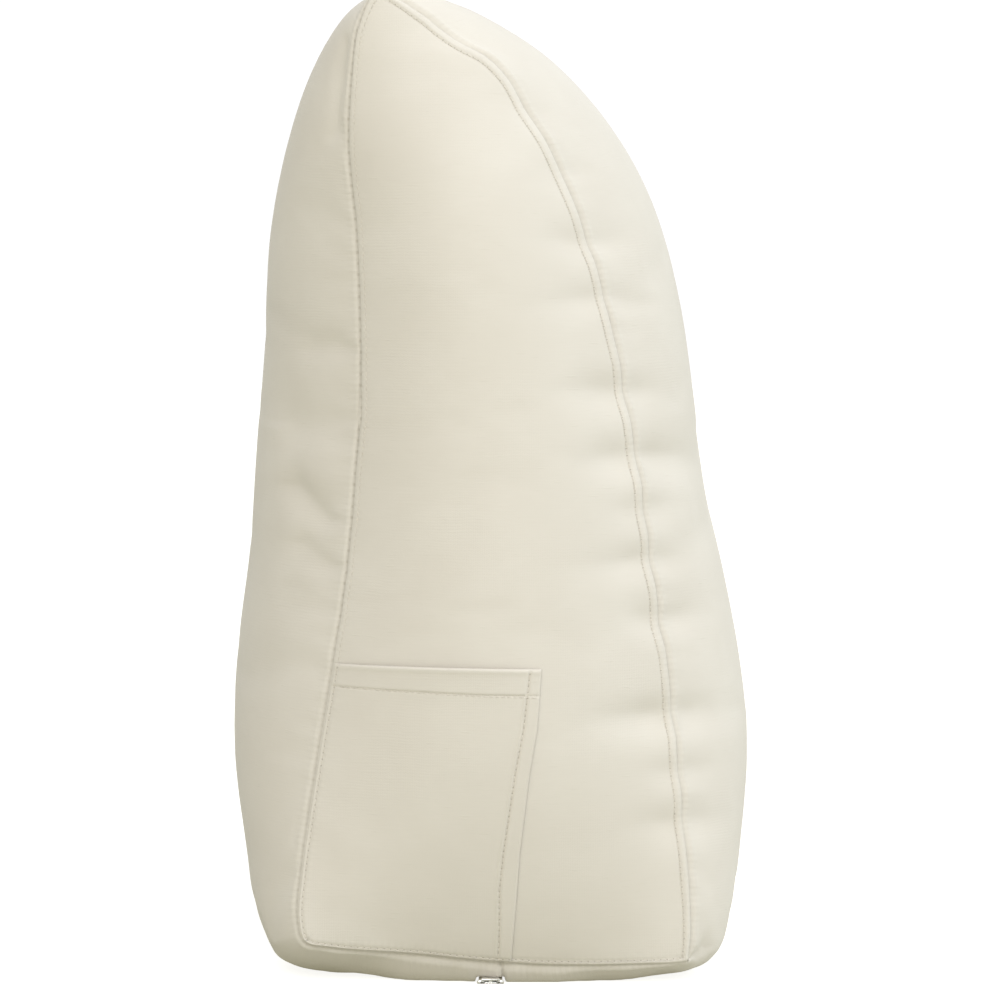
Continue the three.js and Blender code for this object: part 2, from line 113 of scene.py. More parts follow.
# Gathers that cross the leaned-on seam: height, depth, half width, reach on the end and on the
# face, and how much the fold drops for each millimetre away from the seam
Gather = namedtuple("Gather", "z depth half on_end on_face drop")
GATHERS = [
    Gather(412, 1.3, 7, 10, 14, 0.0),
    Gather(376, 3.0, 7, 18, 20, -0.1),
    Gather(349, 2.9, 6, 22, 22, 0.1),
    Gather(302, 4.2, 8, 24, 20, 0.0),
    Gather(269, 5.4, 8, 22, 50, 0.05),
    Gather(242, 2.0, 7, 16, 20, 0.0),
    Gather(217, 3.0, 6, 26, 18, 0.1),
    Gather(187, 3.5, 7, 14, 22, -0.05),
    Gather(138, 5.8, 8, 30, 24, 0.0),
    Gather(109, 2.6, 6, 12, 16, 0.0),
    Gather(84, 3.4, 7, 22, 18, 0.05),
]
SEAM_HOLD = 0.3  # share of a gather's depth that is left at the seam itself
SEAM_HOLD_REACH = 14.0
UPPER_WALL = 1.1  # a fold's walls above and below its crease, in shares of its half width
LOWER_WALL = 1.5
CREASE_POWER = 1.4

# Soft creases in the back face and at the foot of the leaned-on one, each from one height and
# distance to another. upper is the width of the wall above it, in shares of its half width
Crease = namedtuple("Crease", "side z gap to_z to_gap depth half upper")
CREASES = [
    Crease(BACK, 325, 14, 323, 32, 2.6, 7, 1.1),
    Crease(BACK, 284, 16, 281, 48, 4.6, 10, 2.2),
    Crease(BACK, 237, 18, 252, 42, 5.0, 7.5, 1.1),
    Crease(BACK, 213, 12, 223, 32, 3.2, 7, 1.1),
    Crease(BACK, 192, 8, 200, 34, 1.4, 8, 1.1),
    Crease(BACK, 432, 9, 476, 8, 1.8, 4, 1.1),
    Crease(FRONT, 12, 4, 17, 11, 3.6, 6, 1.0),
]

# How far the cloth is lifted at the foot of an end, where it rises to its two corners, by its place
# across the end
Lift = namedtuple("Lift", "x up")
FOOT_LIFTS = [
    Lift(-115, 3.4), Lift(-104, 2.6), Lift(-92, 0.2), Lift(-84, 0.5), Lift(-70, 1.6), Lift(-60, 1.2),
    Lift(-50, 0.0), Lift(68, 0.0), Lift(80, 1.0), Lift(94, 2.0), Lift(106, 2.6), Lift(125, 2.0),
]
LIFT_FROM_SEAM = 8.0
LIFT_REACH = 35.0
LIFT_LOW = 8.0
LIFT_HIGH = 33.0

# How far the leaned-on seam strays across the end from its smooth line, by height
Stray = namedtuple("Stray", "z x")
SEAM_STRAYS = [
    Stray(492, 0.0), Stray(483, -1.0), Stray(476.5, 0.3), Stray(471.5, 3.4), Stray(466, 2.4),
    Stray(457, 1.8), Stray(443, -0.4), Stray(429, 1.2), Stray(410, 1.0), Stray(392, 1.3),
    Stray(376, 0.9), Stray(367, 1.9), Stray(349, 1.4), Stray(330, 1.0), Stray(313, 1.5), Stray(299, 0.3),
    Stray(286, 1.1), Stray(270, 0.9), Stray(253, 1.5), Stray(240, 0.1), Stray(227, 0.7),
    Stray(214, -0.5), Stray(202, 0.6), Stray(192, 0.5), Stray(182, -0.6), Stray(170, 0.6),
    Stray(140, 0.4), Stray(126, 1.5), Stray(109, 0.9), Stray(98, 1.5), Stray(82, 0.3),
    Stray(50, 0.5), Stray(25, 0.2),
]
STRAY_REACH = 14.0
STRAY_EASING = 7  # millimetres over which one stray passes into the next

# Seams: what is sewn beside them, by distance from the seam line. BACK sizes are for the back seam
DITCH = 1.25
DITCH_HALF = 1.1
BACK_DITCH = 0.8
BACK_DITCH_HALF = 0.5
DITCH_DRAW = 1.6
ALLOWANCE = 0.7
BACK_ALLOWANCE = 0.1
ALLOWANCE_RISE = 2.2
PAST_ROW = 0.6
PAST_ROW_FALL = 1.6
LIP = 0.45
BACK_LIP = 0.25
LIP_GAP = 2.2
LIP_HALF = 1.5
ROW_GROOVE = 0.6
BACK_ROW_GROOVE = 0.12
ROW_HALF = 0.7
STITCH_PITCH = 3.35
STITCH_LONG = 2.6
STITCH_SINK = 0.45  # how deep a stitch's ends go into the cloth
THREAD_RADIUS = 0.2
POCKET_PITCH = 3.0
SEAM_PITCH = 5.6  # of the seam's own stitches, which pull dots into the back seam; these dots are painted shade, not relief
BACK_ROW_GAP = 3.4
FRONT_ROW_GAP = 4.9
BASE_ROW_GAP = 2.7

SLEEVE_CUT = 400.0  # sets the long faces' cloth apart from the ends' in the weave
AWAY = 50.0  # from any row of stitches
POCKET_CUT = 900.0  # sets the pocket's cloth apart in the weave

# Patch pocket on the near end panel: where its free edge is along X at the mouth and at the foot, how
# high its mouth is, and how it is cut, hemmed and sewn down
POCKET_RIGHT = 25.2
POCKET_RIGHT_AT_FOOT = 10.1
POCKET_MOUTH = 163.0
POCKET_BOW = 0.7
POCKET_INSET = 1.7
POCKET_CLOTH = 0.9
POCKET_TURNED = 0.5
POCKET_SEAT = 0.35
POCKET_GAPE = 2.4
GAPE_REACH = 24.0
GAPE_FULLNESS = 0.8
HEM_AT_SEAM = 11.5
HEM_AT_EDGE = 13.4
MOUTH_RIM = 0.35
MOUTH_RIM_GAP = 1.6
MOUTH_RIM_HALF = 1.3
HEM_GROOVE = 0.45
HEM_GROOVE_HALF = 0.6
EDGE_GROOVE = 0.75
SEAM_ROW_GROOVE = 0.6
MOUTH_ROUND = 1.1
EDGE_ROUND = 1.0
THINNEST = 0.25

# The pocket's free edge by share of its height: how far it strays from a straight line, and how
# far inside it the row of stitches runs
Edge = namedtuple("Edge", "up stray row_gap")
POCKET_EDGE = [
    Edge(0.0, 0.0, 6.8),
    Edge(0.1, -0.3, 7.3),
    Edge(0.25, -0.8, 9.0),
    Edge(0.38, -1.5, 8.3),
    Edge(0.65, -0.7, 7.3),
    Edge(0.8, 0.9, 7.0),
    Edge(1.0, 0.0, 5.7),
]

# Zip along the middle of the base
TAPE_HALF = 7.6
TAPE_LOW = 2.1
TAPE_THICK = 0.8
TAPE_IN_SLIDER = 3.2
COIL_THICK = 1.4
COIL_PITCH = 1.27
COIL_WIRE = 0.22
COIL_SIDES = 5
COIL_STEPS = 8  # points in a turn
COIL_MIDDLE = 1.15  # of one side's turns from the zip's own middle
COIL_PARTED = 1.2
COIL_HALF = 1.25
COIL_FRONT = -260.5
TAPE_STATIONS = 120
TAPE_RIPPLE = 0.12
TAPE_RIPPLE_LONG = 9.0
ZIP_START = -250.5
ZIP_END = 250.0
FURROW_HALF = 9.6
FURROW_SLOPE = 3.0
CHAIN_ROOF = 3.3
NOTCH_REACH = 3.0  # how far past the slider's back the notch ends
NOTCH_RUN_OUT = 2.0
FURROW_PAST_END = 6.0
FURROW_RUN_OUT = 5.0
SLIDER_ROOF = 3.15
PLATE_HALF = 5.2
SLIDER_FRONT = -264.5
SLIDER_BACK = -251.0
SLIDER_FRONT_HALF = 7.0
SLIDER_BACK_HALF = 5.2
SLIDER_X = -0.4
NOTCH_HALF = 6.7
NOTCH_SLOPE = 1.3
NOTCH_MARGIN = 0.6
CLOSING_SEAM_X = 4.9
CLOSING_SEAM_SLANT = 0.2
CLOSING_SEAM_DEPTH = 1.9
CLOSING_SEAM_HALF = 0.8
CLOSING_SEAM_LONG = 6.0
CLOSING_SEAM_FADE = 14.0
CLOSING_SEAM_TOP = 12.0
CLOSING_SEAM_BEND = 9.5

# The tables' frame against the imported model's: the zip lies along x = 0 and starts at ZIP_START
chain_low, chain_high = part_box("zip_chain")
SHIFT = np.array([(chain_low[0] + chain_high[0]) / 2, chain_low[1] - ZIP_START * MM, 0])


def rise(distance, reach):
    """0 at no distance, easing up to 1 at reach."""
    left = 1 - np.clip(distance / reach, 0, 1)
    return 1 - left**2


def bell(distance, half):
    return np.exp(-((distance / half) ** 2))


def run_along(line):
    """The distance along a line to each of its points."""
    return np.concatenate([[0], np.cumsum(np.hypot(*np.diff(line, axis=0).T))])


def closed_spline(points, rows):
    """The closed centripetal Catmull-Rom curve through the points, at fractional row numbers."""
    first = np.floor(rows).astype(int)
    part = (rows - first)[:, None]
    p0, p1, p2, p3 = (points[(first + k) % len(points)] for k in (-1, 0, 1, 2))
    t0, t1, t2 = (
        np.sum((b - a) ** 2, axis=1)[:, None] ** 0.25 for a, b in ((p0, p1), (p1, p2), (p2, p3))
    )
    leave = ((p1 - p0) / t0 - (p2 - p0) / (t0 + t1) + (p2 - p1) / t1) * t1
    arrive = ((p2 - p1) / t1 - (p3 - p1) / (t1 + t2) + (p3 - p2) / t2) * t1
    square = 3 * (p2 - p1) - 2 * leave - arrive
    cube = 2 * (p1 - p2) + leave + arrive
    return p1 + part * (leave + part * (square + part * cube))


SEAM = np.array([(r.seam_x, r.draw_in, r.seam_z) for r in SECTION], float)
CROWN = np.array([(r.crown_x, 0, r.crown_z) for r in SECTION], float)
REACH = np.array([r.reach for r in SECTION] + [SECTION[0].reach], float)
HEIGHT = CROWN[:, 2].max()
SEAM_SAMPLES = 400


def seam_span(first_row, last_row):
    return closed_spline(SEAM, np.linspace(first_row, last_row, SEAM_SAMPLES))


BACK_SIDE = seam_span(BACK_FOOT_ROW, TOP_ROW)
FRONT_SIDE = seam_span(TOP_ROW, FRONT_FOOT_ROW)[::-1]
BASE_SIDE = seam_span(FRONT_FOOT_ROW, len(SECTION) + BACK_FOOT_ROW)[::-1]


def seam_x(span, z):
    return np.interp(z, span[:, 2], span[:, 0])


def seam_floor(x):
    return np.interp(x, BASE_SIDE[:, 0], BASE_SIDE[:, 2])


def sleeve_points(rows, distances):
    """Points of the long faces, one line around the section for each distance from the near seam."""
    seam = closed_spline(SEAM, rows)[None]
    crown = closed_spline(CROWN, rows)[None]
    reach = np.interp(rows % len(SECTION), np.arange(len(SECTION) + 1), REACH)[None]
    far = distances[:, None]
    near = np.minimum(far, SEAM_TO_SEAM - far)
    side = np.where(far < HALF_SEAM, -1.0, 1.0)
    power = FACE_SWELL - (FACE_SWELL - BASE_SWELL) * np.clip(1 - crown[..., 2] / BASE_EDGE, 0, 1)
    swell = 1 - (1 - np.clip(near / reach, 0, 1)) ** power
    along = np.sin(np.pi / 2 * near / HALF_SEAM)
    grown = 1 - CROWN_GROWTH * (1 - along)
    x = seam[..., 0] + (crown[..., 0] - seam[..., 0]) * swell * grown
    z = seam[..., 2] + (crown[..., 2] - seam[..., 2]) * swell
    z = z + RIDGE_RISE * (z / HEIGHT) ** 4 * along
    y = side * (HALF_SEAM - seam[..., 1] * (1 - along) ** 2 - near)
    return np.stack([x, y, z], axis=-1)


def end_crown(x, z):
    """How far the end panel stands out past the seam plane."""
    back = seam_x(BACK_SIDE, z)
    front = seam_x(FRONT_SIDE, z)
    half = np.maximum((front - back) / 2, 1)
    across = np.clip((x - (front + back) / 2) / half, -1, 1)
    narrow = np.minimum(1, 2 * half / FULL_WIDTH) ** NARROWING
    tall = rise(z - seam_floor(x), CROWN_RISE) * rise(SECTION[TOP_ROW].seam_z - z, CROWN_RISE)
    return END_CROWN * narrow * tall * (1 - np.abs(across) ** CROWN_POWER)


def end_draw_in(x, z):
    """How far the end panel is pulled in, from what its seam is pulled in beside it."""
    back = seam_x(BACK_SIDE, z)
    front = seam_x(FRONT_SIDE, z)
    across = np.clip((2 * x - front - back) / np.maximum(front - back, 2), -1, 1)
    behind = np.interp(z, BACK_SIDE[:, 2], BACK_SIDE[:, 1])
    before = np.interp(z, FRONT_SIDE[:, 2], FRONT_SIDE[:, 1])
    beside = np.where(across < 0, behind, before) * across**2
    below = np.interp(x, BASE_SIDE[:, 0], BASE_SIDE[:, 1])
    low = 1 - np.clip((z - seam_floor(x)) / LOW_DRAW_IN, 0, 1)
    return beside + (below - beside) * low**2


# Spacing of the cushion's points: finest beside the seams and the zip
EDGE_STEP = 0.6
ZIP_STEP = 0.7
WIDENING = 0.14
COARSEST_ON_END = 5.0
COARSEST_UP = 2.4
COARSEST_ALONG = 14.0
FINE_SKIN = (250, 80, 76)  # quads up each side, across the top and the base, and lengthwise
FILLING_SKIN = (84, 22, 56)
BOTTOM_BLEND = 0.22  # share of the height over which an end panel's lines follow its lower edge


def crowded(length, fine_places, coarsest, count):
    """count + 1 distances from 0 to length, closest together at each (place, step)."""
    along = np.linspace(0, length, SEAM_SAMPLES)
    steps = [np.full(SEAM_SAMPLES, coarsest)]
    steps += [step + WIDENING * np.abs(along - place) for place, step in fine_places]
    crowd = 1 / np.minimum.reduce(steps)
    passed = np.concatenate([[0], np.cumsum((crowd[1:] + crowd[:-1]) / 2)])
    return np.interp(np.linspace(0, passed[-1], count + 1), passed, along)


def spaced_rows(first_row, last_row, count, coarsest, fine_x=()):
    """Fractional rows of a stretch of the seam, spaced by its length."""
    rows = np.linspace(first_row, last_row, SEAM_SAMPLES)
    seam = closed_spline(SEAM, rows)
    run = run_along(seam[:, [0, 2]])
    fine = [(0, EDGE_STEP), (run[-1], EDGE_STEP)]
    fine += [(run[np.argmin(np.abs(seam[:, 0] - x))], ZIP_STEP) for x in fine_x]
    return np.interp(crowded(run[-1], fine, coarsest, count), run, rows)


def section_rows(up, across):
    """Rows around the section: up the back, over the top, down the front and along the base."""
    base_end = len(SECTION) + BACK_FOOT_ROW
    notch_walls = [SLIDER_X + side * (NOTCH_HALF + NOTCH_MARGIN) for side in (-1, 1)]
    sides = [
        spaced_rows(BACK_FOOT_ROW, BACK_TOP_ROW, up, COARSEST_UP),
        spaced_rows(BACK_TOP_ROW, FRONT_TOP_ROW, across, COARSEST_UP),
        spaced_rows(FRONT_TOP_ROW, FRONT_FOOT_ROW, up, COARSEST_UP),
        spaced_rows(FRONT_FOOT_ROW, base_end, across, COARSEST_ON_END, notch_walls),
    ]
    return np.concatenate([side[:-1] for side in sides])


def end_plan(seam, up, across):
    """The (x, z) grid of an end panel inside its seam loop: rows up, columns from back to front."""
    loop = np.concatenate([seam[:, [0, 2]], seam[:1, [0, 2]]])
    left = loop[: up + 1]
    top = loop[up : up + across + 1]
    right = loop[up + across : 2 * up + across + 1][::-1]
    base = loop[2 * up + across :][::-1]
    widths = np.hypot(*(right - left).T)
    edges = [
        crowded(w, [(0, EDGE_STEP), (w, EDGE_STEP)], COARSEST_ON_END, across) / w for w in widths
    ]

    def chord_share(line):
        span = line[-1] - line[0]
        return (line - line[0]) @ span / (span @ span)

    height = np.linspace(0, 1, up + 1)[:, None]
    low = np.clip(1 - height / BOTTOM_BLEND, 0, 1) ** 2
    high = np.clip(1 - (1 - height) / BOTTOM_BLEND, 0, 1) ** 2
    shares = np.array(edges) * (1 - low - high) + chord_share(base) * low + chord_share(top) * high
    grid = left[:, None] + (right - left)[:, None] * shares[..., None]
    for line, weight in ((base, low), (top, high)):
        flat = line[0] + (line[-1] - line[0]) * chord_share(line)[:, None]
        grid = grid + (line - flat)[None] * weight[..., None]
    return grid


# A closed skin: its points and quads, and where the sleeve's and the two ends' grids are in them
Skin = namedtuple("Skin", "points quads sleeve near_end far_end around distances")


def grid_quads(ids):
    return np.stack([ids[:-1, :-1], ids[:-1, 1:], ids[1:, 1:], ids[1:, :-1]], axis=-1).reshape(-1, 4)


def end_ids(ring, inner, up, across):
    """Point numbers of an end panel's grid, whose rim is the sleeve's end ring."""
    ids = np.empty((up + 1, across + 1), int)
    loop = np.append(ring, ring[0])
    ids[:, 0] = loop[: up + 1]
    ids[up] = loop[up : up + across + 1]
    ids[:, across] = loop[up + across : 2 * up + across + 1][::-1]
    ids[0] = loop[2 * up + across :][::-1]
    ids[1:-1, 1:-1] = inner
    return ids


def smooth_skin(up, across, lengthwise):
    """The cushion without folds or sewing, as one closed skin of quads."""
    rows = section_rows(up, across)
    ends = [(0, EDGE_STEP), (SEAM_TO_SEAM, EDGE_STEP)]
    distances = crowded(SEAM_TO_SEAM, ends, COARSEST_ALONG, lengthwise)
    sleeve = sleeve_points(rows, distances)
    plan = end_plan(closed_spline(SEAM, rows), up, across)[1:-1, 1:-1]
    x, z = plan[..., 0], plan[..., 1]
    out = HALF_SEAM - end_draw_in(x, z) + end_crown(x, z)
    near, far = (np.stack([x, side * out, z], axis=-1) for side in (-1, 1))
    points = np.concatenate([part.reshape(-1, 3) for part in (sleeve, near, far)])
    sleeve_ids = np.arange(sleeve.shape[0] * len(rows)).reshape(-1, len(rows))
    inner = sleeve_ids.size + np.arange(x.size).reshape(x.shape)
    near_ids = end_ids(sleeve_ids[0], inner, up, across)
    far_ids = end_ids(sleeve_ids[-1], inner + x.size, up, across)
    wrapped = np.concatenate([sleeve_ids, sleeve_ids[:, :1]], axis=1)
    quads = [grid_quads(wrapped), grid_quads(near_ids), grid_quads(far_ids)[:, ::-1]]
    return Skin(points, np.concatenate(quads), sleeve_ids, near_ids, far_ids, (up, across), distances)


def point_normals(points, quads):
    corners = points[quads]
    face = np.cross(corners[:, 2] - corners[:, 0], corners[:, 3] - corners[:, 1])
    total = np.zeros_like(points)
    for k in range(4):
        np.add.at(total, quads[:, k], face)
    return total / np.maximum(np.linalg.norm(total, axis=1), 1e-12)[:, None]


def skin_normals(skin):
    """Each point's outward direction, halfway between the two panels at a seam."""
    sleeve_quads = (len(skin.distances) - 1) * skin.sleeve.shape[1]
    parts = skin.quads[:sleeve_quads], skin.quads[sleeve_quads:]
    total = sum(point_normals(skin.points, part) for part in parts)
    return total / np.linalg.norm(total, axis=1)[:, None]


def nearest_on_loop(places, loop):
    """For each (x, z) place, its distance to the closed loop and the run along it to there."""
    step = np.roll(loop, -1, axis=0) - loop
    long = np.hypot(*step.T)
    run = np.concatenate([[0], np.cumsum(long)[:-1]])
    gaps, runs = [], []
    for some in np.array_split(places, max(1, len(places) // 2000)):
        toward = some[:, None] - loop[None]
        share = np.clip((toward * step).sum(-1) / long**2, 0, 1)
        gap = np.linalg.norm(toward - share[..., None] * step, axis=-1)
        best = gap.argmin(axis=1)
        chosen = np.arange(len(some)), best
        gaps.append(gap[chosen])
        runs.append(run[best] + share[chosen] * long[best])
    return np.concatenate(gaps), np.concatenate(runs)


# For each point of a skin: whether it is on an end panel and at the far end, its distance from the
# nearest seam and from the leaned-on seam, and the run along the end seam beside it. rims are the
# two end seams as (x, z) loops
Places = namedtuple("Places", "on_end far gap front_gap run loop_long rims")


def seam_places(skin):
    count = len(skin.points)
    on_end = np.ones(count, bool)
    on_end[skin.sleeve] = False
    far = skin.points[:, 1] > 0
    gap = np.zeros(count)
    run = np.zeros(count)
    gap[skin.sleeve] = np.minimum(skin.distances, SEAM_TO_SEAM - skin.distances)[:, None]
    rims = []
    for ring, panel in ((skin.sleeve[0], skin.near_end), (skin.sleeve[-1], skin.far_end)):
        loop = skin.points[ring][:, [0, 2]]
        long = np.hypot(*(np.roll(loop, -1, axis=0) - loop).T)
        inner = panel[1:-1, 1:-1].ravel()
        gap[inner], run[inner] = nearest_on_loop(skin.points[inner][:, [0, 2]], loop)
        half = skin.sleeve[far[skin.sleeve[:, 0]] == far[ring[0]]]
        run[half] = np.concatenate([[0], np.cumsum(long)[:-1]])[None]
        rims.append(loop)
    x, z = skin.points[:, 0], skin.points[:, 2]
    front_gap = np.where(on_end, seam_x(FRONT_SIDE, z) - x, gap)
    return Places(on_end, far, gap, np.maximum(front_gap, 0), run, long.sum(), rims)


def fold_depths(skin, places, normals):
    """How deep the gathers and creases press each point in along its normal."""
    z = skin.points[:, 2] + FAR_END_SHIFT * places.far
    ahead = np.where(places.on_end, 1, np.maximum(normals[:, 0], 0))
    behind = np.where(places.on_end, 0, np.maximum(-normals[:, 0], 0))
    depth = np.zeros(len(z))
    freed = SEAM_HOLD + (1 - SEAM_HOLD) * rise(places.gap, SEAM_HOLD_REACH)
    for g in GATHERS:
        reach = np.where(places.on_end, g.on_end, g.on_face)
        height = z - g.z + g.drop * places.front_gap
        above = np.exp(-(np.clip(height, 0, None) / (UPPER_WALL * g.half)) ** CREASE_POWER)
        fold = np.where(height > 0, above, bell(height, LOWER_WALL * g.half))
        depth += ahead * freed * g.depth * fold * bell(places.front_gap, reach)
    for c in CREASES:
        facing = behind if c.side == BACK else ahead * ~places.on_end
        start = np.array([c.z, c.gap])
        line = np.array([c.to_z, c.to_gap]) - start
        toward = np.stack([z, places.gap], axis=1) - start
        share = np.clip(toward @ line / (line @ line), 0, 1)
        off = toward - share[:, None] * line
        far_off = np.linalg.norm(off, axis=1) / c.half
        above = np.exp(-(far_off / c.upper) ** CREASE_POWER)
        depth += facing * c.depth * np.where(off[:, 0] > 0, above, bell(far_off, LOWER_WALL))
    return depth


def foot_lifts(skin, places):
    """How far each point near the foot of an end is lifted, where the cloth rises to its corners."""
    x, _, z = skin.points.T
    lifts = np.interp(x, [lift.x for lift in FOOT_LIFTS], [lift.up for lift in FOOT_LIFTS])
    beside = rise(places.gap, LIFT_FROM_SEAM) * (1 - rise(places.gap - LIFT_REACH, LIFT_REACH))
    return lifts * beside * (1 - rise(z - LIFT_LOW, LIFT_HIGH - LIFT_LOW)) * ~places.on_end


def seam_strays(skin, places):
    """How far along X each point goes with the leaned-on seam where that strays."""
    heights = np.arange(0, HEIGHT)
    strays = np.interp(heights, [s.z for s in SEAM_STRAYS[::-1]], [s.x for s in SEAM_STRAYS[::-1]])
    easing = np.hanning(STRAY_EASING + 2)
    strays = np.convolve(strays, easing / easing.sum(), "same")
    z = skin.points[:, 2] + FAR_END_SHIFT * places.far
    middle = (seam_x(BACK_SIDE, z) + seam_x(FRONT_SIDE, z)) / 2
    on_front = skin.points[:, 0] > middle
    return np.interp(z, heights, strays) * bell(places.front_gap, STRAY_REACH) * on_front


def cubic_weights(places, count, closed):
    """Catmull-Rom weights that take count values to fractional places among them."""
    weights = np.zeros((len(places), count))
    first = np.floor(places).astype(int)
    t = places - first
    terms = (
        -t / 2 + t**2 - t**3 / 2,
        1 - 2.5 * t**2 + 1.5 * t**3,
        t / 2 + 2 * t**2 - 1.5 * t**3,
        -(t**2) / 2 + t**3 / 2,
    )
    for k, term in enumerate(terms):
        at = first + k - 1
        at = at % count if closed else np.clip(at, 0, count - 1)
        np.add.at(weights, (np.arange(len(places)), at), term)
    return weights


def around_places(fine, coarse):
    """Where the fine skin's points around the section fall among the coarse one's."""
    starts = np.cumsum([0, coarse[0], coarse[1], coarse[0]])
    places = []
    for start, k in zip(starts, (0, 1, 0, 1)):
        places.append(start + np.arange(fine[k]) * coarse[k] / fine[k])
    return np.concatenate(places)


def refined(moves, coarse, fine):
    """Moves of a coarse skin's points, taken smoothly to a finer skin of the same layout."""
    result = np.zeros_like(fine.points)
    lengthwise = np.arange(len(fine.distances)) * (len(coarse.distances) - 1) / (len(fine.distances) - 1)
    along = cubic_weights(lengthwise, len(coarse.distances), False)
    round_it = cubic_weights(around_places(fine.around, coarse.around), coarse.sleeve.shape[1], True)
    spread = "ab,bcx,dc->adx"
    result[fine.sleeve] = np.einsum(spread, along, moves[coarse.sleeve], round_it, optimize=True)
    up, across = (
        cubic_weights(np.arange(f + 1) * c / f, c + 1, False)
        for f, c in zip(fine.around, coarse.around)
    )
    for ids, coarse_ids in ((fine.near_end, coarse.near_end), (fine.far_end, coarse.far_end)):
        panel = np.einsum(spread, up, moves[coarse_ids], across, optimize=True)
        result[ids[1:-1, 1:-1]] = panel[1:-1, 1:-1]
    return result


# Filling: the cloth is blown up with its seams held, and only the creases that this makes are kept
PRESSURE = 4.0
FILL_FRAMES = 20
FILL_CAP = 25.0
EXTRA_CLOTH = 0.03  # how much longer the cloth is than the seams that hold it
SLACK_INSET = 4.0
SLACK_REACH = 30.0
CREASE_GAIN = 0.2
CREASE_GAIN_ON_END = 0.08
SMOOTHING_ROUNDS = 24


def blown_up(points, quads, held):
    """Where the points go when the cloth fills. held is each point's hold, from 0 to 1."""
    mesh = bpy.data.meshes.new("filling")
    mesh.from_pydata((points * MM).tolist(), [], quads.tolist())
    piece = bpy.data.objects.new("filling", mesh)
    bpy.context.collection.objects.link(piece)
    hold = piece.vertex_groups.new(name="held")
    for weight in np.unique(held[held > 0]):
        hold.add(np.flatnonzero(held == weight).tolist(), float(weight), "REPLACE")
    cloth = piece.modifiers.new("filling", "CLOTH")
    settings = cloth.settings
    settings.quality = 5
    settings.mass = 0.15
    settings.tension_stiffness = 20
    settings.compression_stiffness = 20
    settings.shear_stiffness = 6
    settings.bending_stiffness = 1.5
    settings.use_pressure = True
    settings.uniform_pressure_force = PRESSURE
    settings.shrink_min = -EXTRA_CLOTH
    settings.effector_weights.gravity = 0
    settings.vertex_group_mass = "held"
    cloth.collision_settings.use_collision = False
    cloth.collision_settings.use_self_collision = False
    scene = bpy.context.scene
    for number in range(1, FILL_FRAMES + 1):
        scene.frame_set(number)
    seen = piece.evaluated_get(bpy.context.evaluated_depsgraph_get()).data
    after = np.empty(len(points) * 3)
    seen.vertices.foreach_get("co", after)
    scene.frame_set(1)
    bpy.data.objects.remove(piece)
    bpy.data.meshes.remove(mesh)
    return after.reshape(-1, 3) / MM


def smoothed(values, quads, rounds):
    """The values averaged over neighbouring points, over and over."""
    pairs = np.concatenate([quads[:, [k, (k + 1) % 4]] for k in range(4)])
    pairs = np.unique(np.sort(pairs, axis=1), axis=0)
    one, other = np.concatenate([pairs, pairs[:, ::-1]]).T
    order = np.argsort(one, kind="stable")
    one, other = one[order], other[order]
    starts = np.concatenate([[0], np.flatnonzero(np.diff(one)) + 1])
    counts = np.diff(np.append(starts, len(one)))[:, None]
    for _ in range(rounds):
        values = (values + np.add.reduceat(values[other], starts) / counts) / 2
    return values


def filling_creases(fine):
    """The fine skin's moves from the creases that filling makes in a coarser skin."""
    coarse = smooth_skin(*FILLING_SKIN)
    places = seam_places(coarse)
    normals = skin_normals(coarse)
    folds = fold_depths(coarse, places, normals)
    slack = SLACK_INSET * rise(places.gap, SLACK_REACH)
    points = coarse.points - normals * (folds + slack)[:, None]
    held = np.where((places.gap < 0.1) | (coarse.points[:, 2] < 0.5), 1.0, 0.0)
    moves = blown_up(points, coarse.quads, held) - points
    reach = np.linalg.norm(moves, axis=1)[:, None]
    moves = moves * np.minimum(1, FILL_CAP / np.maximum(reach, 1e-6))
    creases = moves - smoothed(moves, coarse.quads, SMOOTHING_ROUNDS)
    gain = np.where(places.on_end, CREASE_GAIN_ON_END, CREASE_GAIN)
    creases *= np.where(held > 0, 0, gain)[:, None]
    return refined(creases, coarse, fine)


def along_seam(skin, places, gaps):
    """Values given at corners of the end seam, as (corner, steps past it, value), for each point."""
    up, across = skin.around
    ring = skin.sleeve[0]
    corners = [0, up, up + across, 2 * up + across, len(ring)]
    at = [corners[corner] + steps for corner, steps, _ in gaps]
    on_ring = np.interp(np.arange(len(ring)), at, [value for *_, value in gaps])
    return np.interp(places.run, places.run[ring], on_ring)


def row_gap(skin, places):
    """Distance of the topstitching from the seam, for each point."""
    up, across = skin.around
    low_corner = (BASE_ROW_GAP + BACK_ROW_GAP) / 2
    gaps = [
        (0, 0, low_corner),
        (0, up // 12, BACK_ROW_GAP),
        (1, 0, BACK_ROW_GAP),
        (2, 0, FRONT_ROW_GAP),
        (3, -up // 12, FRONT_ROW_GAP),
        (3, 0, BASE_ROW_GAP + 1),
        (3, across // 6, BASE_ROW_GAP),
        (4, -across // 6, BASE_ROW_GAP),
        (4, 0, low_corner),
    ]
    return along_seam(skin, places, gaps)


def back_share(skin, places):
    """1 along the back seam, 0 along the others."""
    over_top = skin.around[1]
    shares = [
        (0, 0, 0.6), (0, 4, 1), (1, 0, 1), (1, over_top * 0.35, 0.8), (1, over_top * 0.6, 0), (2, 0, 0),
        (4, -4, 0), (4, 0, 0.6),
    ]
    return along_seam(skin, places, shares)


